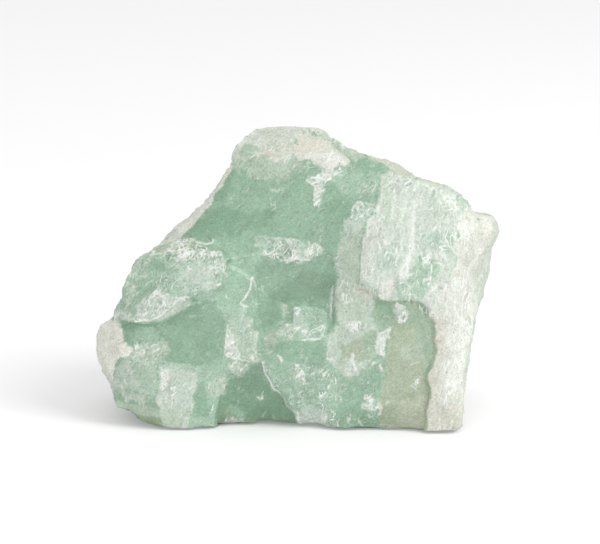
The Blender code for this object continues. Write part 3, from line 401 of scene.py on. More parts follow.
    "low right pale": (PALE, 0.4, 0.4, 0.5, [4.6, 5.2, 5, 6.3, 6.2, 6.4, 5.8, 5.2]),
    "side": (ICE, 0.75, 0.6, 0.2, [5.9, 27.2, 5.4, 25, 5, 23, 4.9, 20, 5, 17, 5.1, 14.2, 4, 12.6, 3.8, 9.6, 4.4, 9,
        5.2, 8.2, 5.6, 7.6, 6.6, 7.2, 8, 8, 9.4, 9.2, 10, 10.6, 10.4, 13.4, 9.5, 15, 10, 16.6, 9.9, 17.6, 9, 18.9,
        7.8, 19.6, 7.8, 20.6, 8, 22, 8.1, 25, 8.5, 26.2, 8.9, 27.4, 6.9, 27.8]),
    "side olive high": (OLIVE, 0.3, 0.5, 0.06, [5.4, 24.4, 6.4, 26.2, 8, 26, 7.9, 20.6, 7.6, 19.8, 6, 20.2, 5.2, 22]),
    "side milky": (PALE, 0.6, 0.8, 0.25, [5.1, 13.6, 5.1, 17, 5.4, 19.8, 7.4, 19.4, 9.4, 18.2, 9.2, 15.4, 8.7, 14.4,
        7.8, 12.8, 5.8, 11.6, 5, 12]),
    "side olive low": (OLIVE, 0.85, 0.5, 0.08, [5.4, 11.4, 8, 12.2, 9.7, 13.8, 10, 11, 9.2, 9.6, 7.9, 9.2, 6, 9.8,
        5.2, 9]),
    "side green low": (GREEN, 0.5, 0.5, 0.05, [8, 12, 9.8, 13.6, 10.1, 10.6, 9.2, 9.4, 8.2, 9.8]),
    "side sand": (SAND, 0.5, 0.5, 0.2, [7.2, 19, 9.4, 18.6, 9.8, 17.2, 8.6, 16.8, 7.4, 17.6]),
    "side crush": (WHITE, 0.65, 0.3, 0.6, [6.5, 13.9, 6.9, 14.7, 7.6, 14.3, 7.9, 13.2, 7, 12.7]),
    "side foot": (ICE, 0.6, 0.3, 0.45, [5.8, 8.4, 6.8, 8.6, 7.2, 7.8, 6.8, 7.3, 5.8, 7.5]),
    "top flake": (LEAF, 0.8, 0.15, 0.55, [6.7, 27.7, 7, 29.1, 8, 29.8, 8.6, 29.5, 9.7, 29.2, 10.1, 28.2, 9.4, 27.6,
        8.4, 27.2, 7.2, 26.8]),
    "block": (MILK, 0.95, 0.18, 0.1, [10.4, 33.2, 11.6, 33.6, 15, 32.5, 20.2, 31.2, 21.6, 29.8, 22.4, 28.5,
        20.5, 28.2, 20.1, 26, 20, 22, 19, 19.6, 17.2, 17.6, 17, 15, 16.5, 15.6, 15.9, 16.3, 15, 17, 14, 17.2,
        13.2, 17.2, 12, 16.9, 11, 17, 10.3, 17.3, 9.9, 18.2, 9.2, 19, 8, 19.6, 7.8, 20.6, 8, 22, 8, 23.7, 8.2, 25,
        8.6, 26, 8.9, 27.4, 10, 28.2, 10.2, 29.6, 10.5, 31]),
    "block left stripe": (PALE, 0.75, 0.35, 0.2, [10.1, 28.6, 10.6, 31.4, 11.7, 31.4, 11.8, 28.6, 11.3, 26.6,
        10.2, 26.6]),
    "block top": (ICE, 0.6, 0.4, 0.6, [10.6, 33, 12.4, 33.4, 15.4, 32.2, 15, 31, 13, 30.6, 11.8, 31.2]),
    "block top right": (ICE, 0.5, 0.4, 0.5, [15.4, 32.2, 20, 31, 19.8, 30.2, 17.4, 29.8, 16, 30.6]),
    "block green left": (LEAF, 0.6, 0.6, 0.2, [10.4, 23.2, 12.2, 24.4, 13.4, 23.8, 12.9, 22.2, 12.2, 21, 10.4, 21,
        9.4, 21.8]),
    "block green low": (LEAF, 0.95, 0.7, 0.15, [13.2, 19.6, 14.4, 20.4, 14.9, 22.6, 15.8, 23.2, 17.4, 22.2,
        17.9, 20.8, 17.2, 19, 16.2, 17.8, 14.8, 17.5, 12.2, 17.4, 12.2, 19]),
    "block green right": (LEAF, 0.7, 0.7, 0.15, [15.2, 25.4, 16.4, 25.9, 18, 25.4, 19.6, 25.6, 19.8, 22.6, 17.8, 23.4,
        16.2, 24]),
    "block green high": (PALE, 0.6, 0.5, 0.2, [16.4, 30.6, 19, 30.2, 20, 28.4, 18.2, 26.6, 17, 28.8]),
    "block shoulder": (GREEN, 0.7, 0.2, 0.05, [20, 30.9, 21.4, 30.4, 21.8, 29.2, 20.9, 28.4, 20.1, 28.9]),
    "block panel": (CREAM, 0.85, 0.3, 0.06, [10.4, 19.8, 12, 20, 12.1, 18.4, 11.6, 17.2, 10.6, 17.1, 10.3, 18]),
    "block face left": (CREAM, 0.4, 0.8, 0.12, [8.2, 25, 9.4, 27.2, 10, 25.4, 9.8, 22.4, 9.6, 20.2, 8, 20.2]),
    "window": (OLIVE, 0.95, 0.12, 0, [11.5, 12.3, 11.1, 10, 10.9, 8, 10.7, 6, 10.4, 4.5, 10.3, -1, 16.2, -1, 16.4, 3,
        16.9, 5, 16.4, 7.1, 17, 9, 17.6, 10.8, 17.2, 12.2, 17.4, 14.2, 16.5, 15.2, 15.8, 16.2, 14.8, 16.9, 13.2, 17.1,
        12, 16.8, 10.2, 17.2, 9.8, 16.6, 9.4, 15.2, 10.3, 13.6, 11.2, 13.2]),
    "window green": (GREEN, 0.5, 0.7, 0, [9.6, 17.2, 12, 16.8, 13.4, 17.1, 15.6, 16.4, 17.3, 14.4, 17, 12, 17.4, 10.6,
        16.4, 7.4, 15.6, 9, 15.2, 11.4, 14.6, 13.8, 12.4, 13.6, 10.6, 13.4, 9.8, 14.4]),
    "window corner": (DEEP, 0.65, 0.4, 0.04, [9.8, 16.9, 11.9, 16.7, 12, 15, 10.8, 14, 9.6, 14.8]),
    "window foot": (SAND, 0.3, 0.8, 0, [13.6, 4.6, 16.8, 5, 16.4, -1, 11.6, -1, 12.4, 2.6]),
    "window scuff": (PALE, 0.5, 0.4, 0.1, [13, 10.4, 13.6, 11.3, 15.4, 11.3, 15.9, 10, 15.2, 9, 14, 9.2]),
    "window chips": (ICE, 0.75, 0.2, 0.85, [12.1, 15.8, 12.5, 16.9, 13.3, 16.5, 13.9, 15.2, 13.4, 14.2, 12.6, 14.1,
        12.4, 14.8]),
    "window low chips": (ICE, 0.7, 0.2, 0.85, [14.2, 6.2, 14.9, 7.1, 15.5, 7.3, 15.1, 6.2, 14.8, 5.5]),
    "window edge chips": (WHITE, 0.6, 0.2, 0.85, [9.9, 11.8, 10.2, 12.9, 10.9, 13.1, 11.7, 13.7, 11.6, 12.4, 11, 12,
        10.95, 10, 10.3, 10, 9.9, 11]),
    "window foot chips": (CREAM, 0.8, 0.15, 0.3, [10.2, 2.2, 10.3, 4.3, 10.8, 3.9, 10.6, 2.4]),
    "column": (CREAM, 0.9, 0.12, 0.05, [16.6, 15.3, 17.2, 17.6, 19, 19.6, 20, 22, 20.2, 24, 24.4, 24, 26, 20, 24, -1,
        16.2, -1, 16.4, 3, 16.9, 5, 16.4, 7.1, 17, 9, 17.6, 10.8, 17.2, 12.2, 17.4, 14.2]),
    "column foot": (SAND, 0.6, 0.9, 0, [16.2, -1, 16.4, 3.4, 17, 5, 18.3, 4, 20.4, 3.6, 22, 4, 22, -1]),
    "column edge": (SAND, 0.6, 0.3, 0.1, [16.8, 5, 16.5, 7.1, 17.6, 10.8, 17.3, 12.4, 17.5, 14.8, 18.6, 15, 18.8, 12,
        18.2, 8, 18, 5]),
    "column milk": (WHITE, 0.35, 0.7, 0.05, [19.2, 20, 21.6, 20.4, 21.4, 12, 20.8, 5, 18.6, 5, 19, 12]),
    "right face": (PALE, 0.65, 0.3, 0.2, [22.2, 20.6, 23.4, 23.8, 25, 23.6, 24.4, 18, 23.2, 15, 22, 17]),
    "right margin": (PALE, 0.4, 0.4, 0.2, [21.3, 14, 23, 16, 22.4, 10, 21.6, 4, 20.8, 6, 21, 11]),
    "cream corner": (CREAM, 0.95, 0.3, 0.15, [20.3, 28.1, 21.8, 29.2, 24.8, 28.4, 24.4, 25.2, 23.6, 23.8, 22.3, 21.2,
        21, 20.4, 19.6, 20, 20, 22, 20.1, 25]),
    "knob": (CREAM, 0.65, 0.12, 0.05, [23.4, 28.2, 27, 28, 26, 23, 24.2, 23.4, 23.6, 25, 23.2, 26.6]),
}

# Streaks, laid over the patches: colour, how strong, half its width, how crushed, and its path
STREAKS = [
    (WHITE, 0.9, 0.176, 0.5, [-20.2, 14.5, -18.4, 14.55, -17.3, 15, -16.5, 15.6, -15.6, 16.4, -15, 17.1, -14.2, 17.3,
        -13.6, 17.5]),
    (WHITE, 0.5, 0.16, 0.4, [-20, 16.4, -18.6, 17.5, -17.8, 18.1, -17, 18.2]),
    (WHITE, 0.7, 0.16, 0.6, [-23, 15, -22.5, 15.3, -21.8, 15.5]),
    (WHITE, 0.8, 0.128, 0.4, [-12.3, 24.5, -11.5, 24.3, -10.7, 24.4, -10.4, 24.8]),
    (WHITE, 0.9, 0.24, 0.8, [-14.9, 22.2, -14.3, 22.5, -13.8, 23.2]),
    (WHITE, 1, 0.136, 0, [-5.55, 20, -5.85, 19, -6.2, 17.9, -6.6, 17.2, -7, 16.8]),
    (WHITE, 0.9, 0.12, 0, [-7, 16.7, -6.5, 16.35, -6.2, 16.3]),
    (WHITE, 0.5, 0.112, 0, [-6.5, 16.3, -6.8, 15.4, -7, 14.8]),
    (WHITE, 0.5, 0.112, 0, [-5.5, 20, -5.3, 19.4, -5.2, 18.6]),
    (WHITE, 0.9, 0.16, 0.4, [-8.6, 13.7, -8.9, 12, -9, 10.4, -8.6, 9.8, -8, 9.6, -7.2, 9.6]),
    (WHITE, 0.8, 0.128, 0.2, [-5.6, 10.3, -5.5, 9.4]),
    (CREAM, 0.7, 0.12, 0.2, [-6.9, 9.5, -5.4, 9.1, -4.8, 9.3]),
    (ICE, 0.7, 0.24, 0.3, [-5.1, 13, -5.2, 11, -5, 9.6]),
    (WHITE, 1, 0.136, 0, [-4.4, 9, -4.1, 8.2, -3.8, 7.5, -3.3, 6.8, -2.6, 5.7, -2.2, 5.2]),
    (ICE, 0.8, 0.128, 0.3, [-2.2, 5.2, -1.5, 4.4, -1.2, 3.5, -0.3, 2.9, -0.1, 2, 0.3, 1.2]),
    (WHITE, 0.8, 0.16, 0.5, [0, 2.8, 0.2, 1.9, 0.5, 1.2]),
    (WHITE, 0.9, 0.128, 0.2, [0.5, 12, 1.4, 12.1, 2, 12.25, 2.9, 12]),
    (ICE, 0.7, 0.12, 0.1, [-0.15, 16.3, -0.3, 15.2, -0.5, 14.3]),
    (ICE, 0.8, 0.224, 0.4, [4.45, 18.9, 4.3, 17, 4.2, 14.8]),
    (ICE, 0.6, 0.176, 0.2, [4.85, 18, 4.7, 16.4]),
    (ICE, 0.75, 0.2, 0.3, [4.9, 13.9, 4.7, 13, 5, 12]),
    (ICE, 0.7, 0.16, 0.3, [4, 12.4, 4.1, 11, 4, 10]),
    (CREAM, 0.5, 0.24, 0.1, [5.2, 19.6, 5.25, 17, 5.4, 14.6]),
    (WHITE, 0.9, 0.224, 0.3, [7, 10.2, 6.8, 9.5, 7.2, 8.9, 7.3, 8.1]),
    (ICE, 0.8, 0.16, 0.3, [8, 9.2, 8.2, 8.5, 8.8, 8.2, 9.4, 8.8, 9.8, 9.1]),
    (WHITE, 0.8, 0.16, 0.3, [7.9, 2.1, 7.8, 1.4, 8.1, 0.8]),
    (WHITE, 0.8, 0.176, 0.4, [10.4, 8.8, 10.6, 8.1]),
    (WHITE, 0.9, 0.16, 0, [10.6, 11.2, 10.5, 10.5, 10.8, 10.1]),
    (CREAM, 0.7, 0.112, 0, [10.4, 1.05, 12.4, 1]),
    (WHITE, 0.9, 0.128, 0.1, [6.85, 27.6, 7, 29, 7.6, 29.6, 8.2, 29.7]),
    (ICE, 0.7, 0.112, 0.1, [8.8, 29.3, 9.8, 29.3, 10.1, 28.7]),
    (WHITE, 0.7, 0.24, 0.3, [9.7, 27.1, 9.1, 26.6, 8.8, 25.4]),
    (WHITE, 0.5, 0.224, 0.1, [8.4, 24.8, 8.25, 22.6, 8.1, 20.8]),
    (WHITE, 0.75, 0.224, 0.1, [14.9, 29.4, 14.75, 27.4, 14.5, 25.8]),
    (WHITE, 0.65, 0.4, 0.1, [14.5, 25.8, 14.2, 24, 13.8, 22.2, 13, 20.6]),
    (WHITE, 1, 0.128, 0, [12.9, 23.1, 12.6, 22.4, 12.35, 21.7]),
    (WHITE, 0.5, 0.24, 0.3, [12, 23.9, 12.7, 23.2]),
    (WHITE, 0.8, 0.104, 0, [17.7, 24, 18.8, 24.15, 19.5, 23.7, 20.1, 22.8]),
    (WHITE, 0.6, 0.096, 0, [15, 25.2, 15.7, 25.6, 16.6, 25.6, 17.3, 26.4]),
    (WHITE, 0.6, 0.096, 0, [18.2, 25.6, 18.7, 24.8, 18.9, 24.2]),
    (WHITE, 0.7, 0.112, 0, [17.2, 21.9, 18.3, 21.6]),
    (WHITE, 0.6, 0.24, 0.4, [14.4, 20.5, 13.4, 20.2, 13, 19.4]),
    (WHITE, 0.6, 0.28, 0.2, [17, 18.6, 16.2, 17.6, 16.6, 16.4]),
    (WHITE, 0.5, 0.24, 0.1, [10.6, 30.6, 10.3, 29.2, 10.1, 28.2]),
    (WHITE, 0.45, 0.24, 0.1, [12.2, 30.6, 12, 28.6, 11.9, 27.4]),
    (WHITE, 0.95, 0.192, 0, [18.55, 4, 18.8, 6, 19.1, 9]),
    (WHITE, 0.7, 0.16, 0, [19.6, 5, 19.7, 7.4, 19.9, 9.6]),
    (WHITE, 0.9, 0.112, 0, [20.6, 13.2, 20.8, 11, 20.9, 9.4]),
    (WHITE, 0.7, 0.144, 0, [19.3, 15.4, 19.1, 12.6, 19, 10]),
    (WHITE, 0.6, 0.2, 0, [19.6, 20, 19.8, 17, 19.9, 14]),
    (WHITE, 0.7, 0.16, 0.1, [21.4, 13.4, 21.9, 12.6]),
    (WHITE, 0.8, 0.144, 0, [22, 21.6, 23, 23.2]),
    (WHITE, 1, 0.144, 0.3, [1.2, 32.5, 1.8, 32.1, 2.25, 31.6, 2.4, 30.9, 2.25, 29.8]),
    (WHITE, 0.9, 0.12, 0.2, [2.4, 30.6, 2.8, 31]),
    (WHITE, 0.7, 0.16, 0.3, [2.6, 32.4, 3.4, 33, 4.2, 33.2]),
    (WHITE, 0.8, 0.112, 0.2, [2.3, 24.4, 2.9, 23.9, 3, 23.1]),
    (WHITE, 0.9, 0.16, 0.3, [-1.5, 22.4, -0.6, 22.5, 0.2, 22.4, 1.4, 22.4]),
    (WHITE, 0.8, 0.128, 0.2, [-1.3, 24.7, -0.8, 23.9, -0.3, 23.2, 0.3, 22.5]),
    (WHITE, 0.8, 0.128, 0.2, [1.5, 24.5, 1.5, 23.6, 1, 23.2, -0.4, 23.3]),
    (WHITE, 0.6, 0.112, 0.2, [-3, 25.1, -1.6, 24.9, 0.4, 24.7]),
    (WHITE, 0.6, 0.112, 0.2, [-2.5, 24.7, -2.2, 23.6, -1.7, 22.6]),
    (CREAM, 0.7, 0.16, 0.2, [-3.2, 31.1, -2.4, 31]),
    (PALE, 0.6, 0.16, 0.1, [-2.2, 31.2, -1.2, 31.6, -0.5, 32.3]),
    (LEAF, 0.6, 0.096, 0, [-10.3, 24.1, -8.3, 25.1, -6.3, 27.3]),
    (LEAF, 0.6, 0.096, 0, [-10, 23.8, -7.9, 24.6, -5.6, 26.6]),
    (LEAF, 0.5, 0.096, 0, [-9.6, 23.6, -7.4, 24.2, -5.2, 25.8]),
    (LEAF, 0.5, 0.096, 0, [-8.2, 25.8, -6.6, 27.4]),
    (ICE, 0.7, 0.128, 0, [-4.3, 2.1, -4, 2.6]),
    (ICE, 0.7, 0.128, 0, [-3, 2.2, -2.8, 1.8]),
    (WHITE, 0.9, 0.144, 0, [-10.45, 3.6, -10.5, 3.1]),
    (CREAM, 0.6, 0.112, 0, [-13, 1.6, -11.8, 1.55]),
    (WHITE, 0.9, 0.176, 0.6, [-2.3, 10, -1.9, 9.4]),
    # painted shade: thin dark lines beside bright cracks and under the edges of ledges, and dark spots in small
    # hollows
    (DARK_GREEN_AND_PAINTED_SHADE, 0.8, 0.16, 0, [-11.1, 25.1, -10.8, 24.8]),
    (DARK_GREEN_AND_PAINTED_SHADE, 0.4, 0.2, 0, [-3.3, 27.6, -2.9, 28.2]),
    (DARK_GREEN_AND_PAINTED_SHADE, 0.8, 0.096, 0, [11.4, 12.4, 11.15, 11.4, 11, 10.2]),
    (DARK_GREEN_AND_PAINTED_SHADE, 0.5, 0.112, 0, [10.9, 17, 11.6, 16.85]),
    (DARK_GREEN_AND_PAINTED_SHADE, 0.9, 0.096, 0, [12.25, 22.2, 12.15, 21.6]),
    (DARK_GREEN_AND_PAINTED_SHADE, 0.9, 0.112, 0, [22.6, 27.55, 22.75, 27.4]),
    (DARK_GREEN_AND_PAINTED_SHADE, 0.9, 0.096, 0, [22.4, 27.05, 22.45, 27]),
    (DARK_GREEN_AND_PAINTED_SHADE, 0.6, 0.096, 0, [23.5, 25, 23.7, 25.15]),
    (DARK_GREEN_AND_PAINTED_SHADE, 0.7, 0.112, 0, [1.1, 12.8, 1.25, 12.7]),
    (RUST, 0.8, 0.104, 0, [17, 14.7, 17.2, 14.6]),
    (RUST, 0.7, 0.096, 0, [17.9, 13.3, 17.95, 13.1]),
    (RUST, 0.8, 0.112, 0, [17.4, 12, 17.5, 11.8]),
    (RUST, 0.7, 0.096, 0, [18.1, 10.8, 18.15, 10.6]),
    (RUST, 0.7, 0.104, 0, [17.3, 8.7, 17.35, 8.5]),
    (RUST, 0.7, 0.096, 0, [17.8, 7, 17.85, 6.8]),
    (RUST, 0.6, 0.128, 0, [-18.7, 4.8, -18.65, 4.5]),
    (RUST, 0.6, 0.112, 0, [-24.2, 12.9, -24.1, 12.8]),
    (RUST, 0.5, 0.112, 0, [-22.9, 7.7, -22.8, 7.6]),
    (RUST, 0.6, 0.112, 0, [2.9, 24.2, 3.1, 23.9]),
    (RUST, 0.7, 0.128, 0, [7.9, 18.6, 8.1, 18.5]),
    (RUST, 0.6, 0.128, 0, [8.8, 18, 9, 17.8]),
    (RUST, 0.5, 0.144, 0, [-2.6, 36.4, -2.4, 36.2]),
    (RUST, 0.5, 0.112, 0, [-5.6, 32.9, -5.5, 32.8]),
    (RUST, 0.5, 0.112, 0, [-4.4, 32.2, -4.3, 32.1]),
]

# The clouds of the sides that the front hides, drawn out upright, as the crystal grew: colour, how strong, size,
# where in the noise it starts, how crushed
CLOUDS = [
    (GREEN, 1.0, 9.0, -1.0, 0.12), (ICE, 0.6, 6.0, 0.08, 0.25), (LEAF, 0.8, 5.0, 0.0, 0.2),
    (DEEP, 0.8, 4.2, 0.14, 0.03), (PALE, 0.7, 2.6, 0.2, 0.45), (CREAM, 0.5, 5.5, 0.26, 0.15),
    (WHITE, 0.35, 1.8, 0.34, 0.9),
]
CLOUD_DRAWN = (1, 1, 0.45)
CLOUD_EDGE = 0.09
CLOUD_RAGGED = 0.16

# The block and the column, which are built of upright fibres
FIBROUS = [7.8, 17, 8.6, 27, 10.4, 33, 20.4, 31, 23, 27, 24.6, 20, 22, -1, 17.5, -1, 17.4, 14.6, 13, 17.2]
FIBROUS_FADE = 0.6

RAGGED = [(0.7, 1.3), (0.6, 0.55), (0.5, 0.27)]  # how far each wave in the outlines goes, and its length
CRISPEST = 0.09
PATCH_EDGE = 0.45  # how far a patch fades each way, per softness
STREAK_EDGE = (0.4, 1.3)  # where a streak starts and ends to fade, in half widths
STREAK_RAGGED = 0.7
SEEN_FADE = (-0.1, 0.1)
SOUND = 0.05  # how crushed sound stone is
SKIN = 0.75  # how strong the skin of weathering is
SKIN_FADES = [(0, 15, 21), (0, -19, -24), (2, 30, 35)]  # axis, and where it fades in
SKIN_RAGGED = 0.25
SKIN_EDGE = (0.25, 0.6)
SKIN_CRUSHED = 0.2


def noise_at(points, grain, offset=0.0):
    """Even noise, between about -1 and 1, at each point. Each offset gives another pattern."""
    return np.array([noise.noise(point) for point in (points / grain + offset).tolist()])


def steps_of(path):
    """The x and z where each straight step of a path starts and ends."""
    return zip(path[::2], path[1::2], path[2::2], path[3::2])


def distance_to_path(x, z, path):
    """How far each point lies from a path of straight steps."""
    nearest = np.full(len(x), np.inf)
    for x0, z0, x1, z1 in steps_of(path):
        run, rise = x1 - x0, z1 - z0
        along = np.clip(((x - x0) * run + (z - z0) * rise) / (run * run + rise * rise), 0, 1)
        nearest = np.minimum(nearest, np.hypot(x - x0 - along * run, z - z0 - along * rise))
    return nearest


def depth_inside(x, z, outline):
    """How far each point lies inside an outline, or outside if it is negative."""
    closed = outline + outline[:2]
    crossed = np.zeros(len(x), bool)
    for x0, z0, x1, z1 in steps_of(closed):
        if z0 != z1:
            crossed ^= ((z0 > z) != (z1 > z)) & (x < x0 + (x1 - x0) * (z - z0) / (z1 - z0))
    return np.where(crossed, 1, -1) * distance_to_path(x, z, closed)


def linear(colour):
    """A colour as it looks on a screen, as the share of light that it gives back."""
    share = np.array(colour) / 255
    return np.where(share > 0.04045, ((share + 0.055) / 1.055) ** 2.4, share / 12.92)


from_eye = places * MM - np.array(eye)
depth = -from_eye @ to_eye
seen_x = from_eye @ np.array(rightward) / depth * FRONT_DISTANCE / MM + MIDDLE_X
seen_z = from_eye @ np.array(upward) / depth * FRONT_DISTANCE / MM * Z_STRETCH + MIDDLE_Z
ragged = sum(reach * noise_at(places, grain, offset=17.0) for reach, grain in RAGGED)
facing = smooth(normals_at(places) @ to_eye, *SEEN_FADE)
out_of_sight = 1 - facing

tint = np.tile(linear(GREEN), (count, 1))
crushed = np.full(count, SOUND)


def lay(colour, share, crush):
    """Lays a colour, and how crushed the stone is there, over what is there."""
    tint[:] += (linear(colour) - tint) * share[:, None]
    crushed[:] += (crush - crushed) * share


for colour, strength, softness, crush, outline in PATCHES.values():
    inside = depth_inside(seen_x, seen_z, outline) + (CRISPEST + softness) * ragged
    lay(colour, strength * facing * smooth(inside, -PATCH_EDGE * softness, PATCH_EDGE * softness), crush)
for colour, strength, half_width, crush, path in STREAKS:
    away = distance_to_path(seen_x, seen_z, path) / half_width + STREAK_RAGGED * np.abs(ragged)
    lay(colour, strength * facing * (1 - smooth(away, *STREAK_EDGE)), crush)

drawn_out = places * CLOUD_DRAWN
for i, (colour, strength, grain, low, crush) in enumerate(CLOUDS):
    cloud = noise_at(drawn_out, grain, offset=11.3 * i) + CLOUD_RAGGED * ragged
    lay(colour, strength * out_of_sight * smooth(cloud, low, low + CLOUD_EDGE), crush)
near_end = np.max([smooth(places[:, axis], low, high) for axis, low, high in SKIN_FADES], axis=0)
lay(CREAM, SKIN * out_of_sight * smooth(near_end + SKIN_RAGGED * ragged, *SKIN_EDGE), SKIN_CRUSHED)

fibrous = smooth(depth_inside(seen_x, seen_z, FIBROUS), -FIBROUS_FADE, FIBROUS_FADE) * facing


# The stone: relief
# Crushed stone stands up in grains, the milky block and the column are built of upright fibres, and clear facets
# are nearly smooth, with the faint waves of a glassy break. The hidden sides broke in rough terraces.

# Edges of the solid that hardly show: path, how near to it the front is worn, and where that fades out
WORN = [([-23, 9.8, -20.5, 9.7, -18.4, 9.4], 0.8, 1.9), ([-3.2, 10.4, -3.8, 12.4, -4.4, 15.2], 0.5, 1.4)]
WEARING = 60  # rounds
LEVELLED = 0.82  # the front is this much flatter than the solid
LEVELLING = 260  # rounds
REACHING = 12  # rounds, so that the foot's edge goes with the front
FREE_OF_FOOT = (0.1, 1.4)  # nothing below this rises or sinks, so that the foot stays flat
BENDS = [(0.22, 1.3), (0.12, 0.55)]  # how far the ledges wander, and in waves of what length
BEND_ALONG = 0.85  # they wander along the faces, so that those stay flat
WAVES = [(3.0, 0.05), (1.2, 0.02), (0.5, 0.012)]  # the length and height of each wave
GRAINS = [(0.9, 0.13), (0.42, 0.08)]  # the size and height of the grains where the stone is crushed
GRAIN_TOP = 0.9  # and how they fall off from their middles
GRAIN_FALL = 1.6
FIBRES = [(0.55, 0.08, 0.0), (0.28, 0.04, 3.0)]  # size, height and offset of each
FIBRE_DRAWN = (1, 1, 0.16)
FIBRE_LEAN = (0.13, 0, 0)
HIDDEN_WAVES = [(1.7, 0.1), (0.6, 0.07)]
RIM_WAVES = [(1.9, 0.26), (0.8, 0.17), (0.4, 0.09)]  # where the front turns away
RIM = (0.5, 0.15)  # how squarely that faces the eye
TERRACE_GRAIN = 11.0
TERRACE_STEP = 0.16
TERRACE_HEIGHT = 0.3
TERRACE_RAGGED = 0.06
TERRACE_RISER = 0.15
TERRACE_START = (0.2, 1.6)  # how far from a ledge
FOOT_MIDDLE = (0.0, -3.0)
FOOT_TUCK = (0.05, 0.16)  # how much narrower and shallower the stone gets at the table
TUCK_HEIGHT = 0.4  # on average, and how much that varies
TUCK_SWAY = 0.4
TUCK_GRAIN = 3.1

for path, near, far in WORN:
    worn = (smooth(distance_to_path(seen_x, seen_z, path), far, near) * facing)[:, None]
    for _ in range(WEARING):
        places += (blurred(places) - places) * worn

out = (places @ to_eye)[:, None]
level = out
for _ in range(LEVELLING):
    level = blurred(level)
front_share = facing[:, None]
for _ in range(REACHING):
    front_share = blurred(front_share)
above_foot = smooth(places[:, 2], *FREE_OF_FOOT)
moved = to_eye * (level - out) * LEVELLED * front_share
moved[:, 2] *= above_foot
places += moved
normals = normals_at(places)

bend = np.zeros((count, 3))
for reach, grain in BENDS:
    for axis in range(3):
        bend[:, axis] += reach * noise_at(places, grain, offset=40.0 + 7.0 * axis)
bend -= BEND_ALONG * normals * np.sum(bend * normals, axis=1)[:, None]

relief = np.zeros(count)
for grain, height in WAVES:
    relief += height * noise_at(places, grain, offset=5.0)
for grain, height in GRAINS:
    to_grain = np.array([noise.voronoi(point)[0][0] for point in (places / grain).tolist()])
    relief += height * crushed * (GRAIN_TOP - GRAIN_FALL * to_grain)
upright = places * FIBRE_DRAWN - places[:, 2:] * FIBRE_LEAN
for grain, height, offset in FIBRES:
    relief += height * fibrous * noise_at(upright, grain, offset)
for grain, height in HIDDEN_WAVES:
    relief += height * out_of_sight * noise_at(places, grain, offset=9.0)
rim = smooth(np.abs(normals @ to_eye), *RIM)
for grain, height in RIM_WAVES:
    relief += height * rim * noise_at(places, grain, offset=31.0)
terrace = np.abs(noise_at(places, TERRACE_GRAIN, offset=60.0) + TERRACE_RAGGED * ragged) / TERRACE_STEP
terrace = np.floor(terrace) + smooth(terrace % 1, 0, TERRACE_RISER)
relief -= TERRACE_HEIGHT * out_of_sight * smooth(from_ledge, *TERRACE_START) * terrace

moved = normals * relief[:, None] + bend
moved[:, 2] *= above_foot
places += moved
tuck_height = TUCK_HEIGHT + TUCK_SWAY * noise_at(places * (1, 1, 0), TUCK_GRAIN, offset=71.0)
tucked = 1 - smooth(places[:, 2], 0, tuck_height)
places[:, :2] -= (places[:, :2] - FOOT_MIDDLE) * FOOT_TUCK * tucked[:, None]
lowest, highest = np.array(cad_box) / MM
mesh.vertices.foreach_set("co", (np.clip(places, lowest, highest) * MM).ravel())
mesh.update()

mesh.attributes.new("tint", "FLOAT_COLOR", "POINT").data.foreach_set(
    "color", np.hstack([tint, np.ones((count, 1))]).astype(np.float32).ravel()
)
for name, values in {"crushed": crushed, "fibrous": fibrous, "ledge": from_ledge}.items():
    mesh.attributes.new(name, "FLOAT", "POINT").data.foreach_set("value", values.astype(np.float32))


# The stone: finish
# Fresh breaks in beryl have a low gloss, and light goes a short way into them. Cracks, strands, sugar and fibres that
# are finer than the mesh whiten the crushed and milky zones, painted shadow lines run beside the strands, painted
# light brightens some ledge rims, and a few small dark pits show.

LIT = 0.63  # the share of a colour's light that is the stone's own, under these lamps
FROST = 1.08  # how much brighter than white stone its cracks are
PIT = (96, 116, 92)
PIT_SPACING = 0.9
PIT_EDGE = (0.14, 0.06)
PIT_SHARE = (0.72, 0.78)  # most places for a pit have none
ROUGHNESS = 0.36
BUMP_STRENGTH = 0.6
BUMP_HEIGHT = 0.09 * MM
SUBSURFACE = 0.35
SUBSURFACE_RADIUS = (0.7, 1.0, 0.75)
SUBSURFACE_DEPTH = 1.2 * MM
IOR = 1.57


def set_sockets(node, sockets):
    """Sets sockets of a shader node to plain values."""
    for name, value in sockets.items():
        node.inputs[name].default_value = value


class Wire:
    """The output of a shader node. Arithmetic on wires, or on a wire and a number, adds the nodes that do it."""

    def __init__(self, socket):
        self.socket = socket

    @classmethod
    def node(cls, tree, kind, settings, sockets, output=0):
        """The output of a new node, with its settings made first and then its sockets set or linked."""
        made = tree.nodes.new(kind)
        for name, value in settings.items():
            setattr(made, name, value)
        for name, value in sockets.items():
            if isinstance(value, Wire):
                tree.links.new(value.socket, made.inputs[name])
            else:
                made.inputs[name].default_value = value
        return cls(made.outputs[output])

    def math(self, operation, *others):
        sockets = dict(enumerate([self, *others]))
        return Wire.node(self.socket.id_data, "ShaderNodeMath", {"operation": operation}, sockets)

    def __add__(self, other):
        return self.math("ADD", other)

    def __sub__(self, other):
        return self.math("SUBTRACT", other)

    def __rsub__(self, other):
        return self * -1 + other

    def __mul__(self, other):
        return self.math("MULTIPLY", other)

    __radd__ = __add__
    __rmul__ = __mul__

    def __abs__(self):
        return self.math("ABSOLUTE")

    def most(self, other):
        """The larger of the two."""
        return self.math("MAXIMUM", other)

    def between(self, low, high):
        """0 up to low, 1 from high, and an even curve between. High may be the lower of the two."""
        if low > high:
            return 1 - self.between(high, low)
        sockets = {"Value": self, "From Min": low, "From Max": high}
        return Wire.node(self.socket.id_data, "ShaderNodeMapRange", {"interpolation_type": "SMOOTHSTEP"}, sockets)


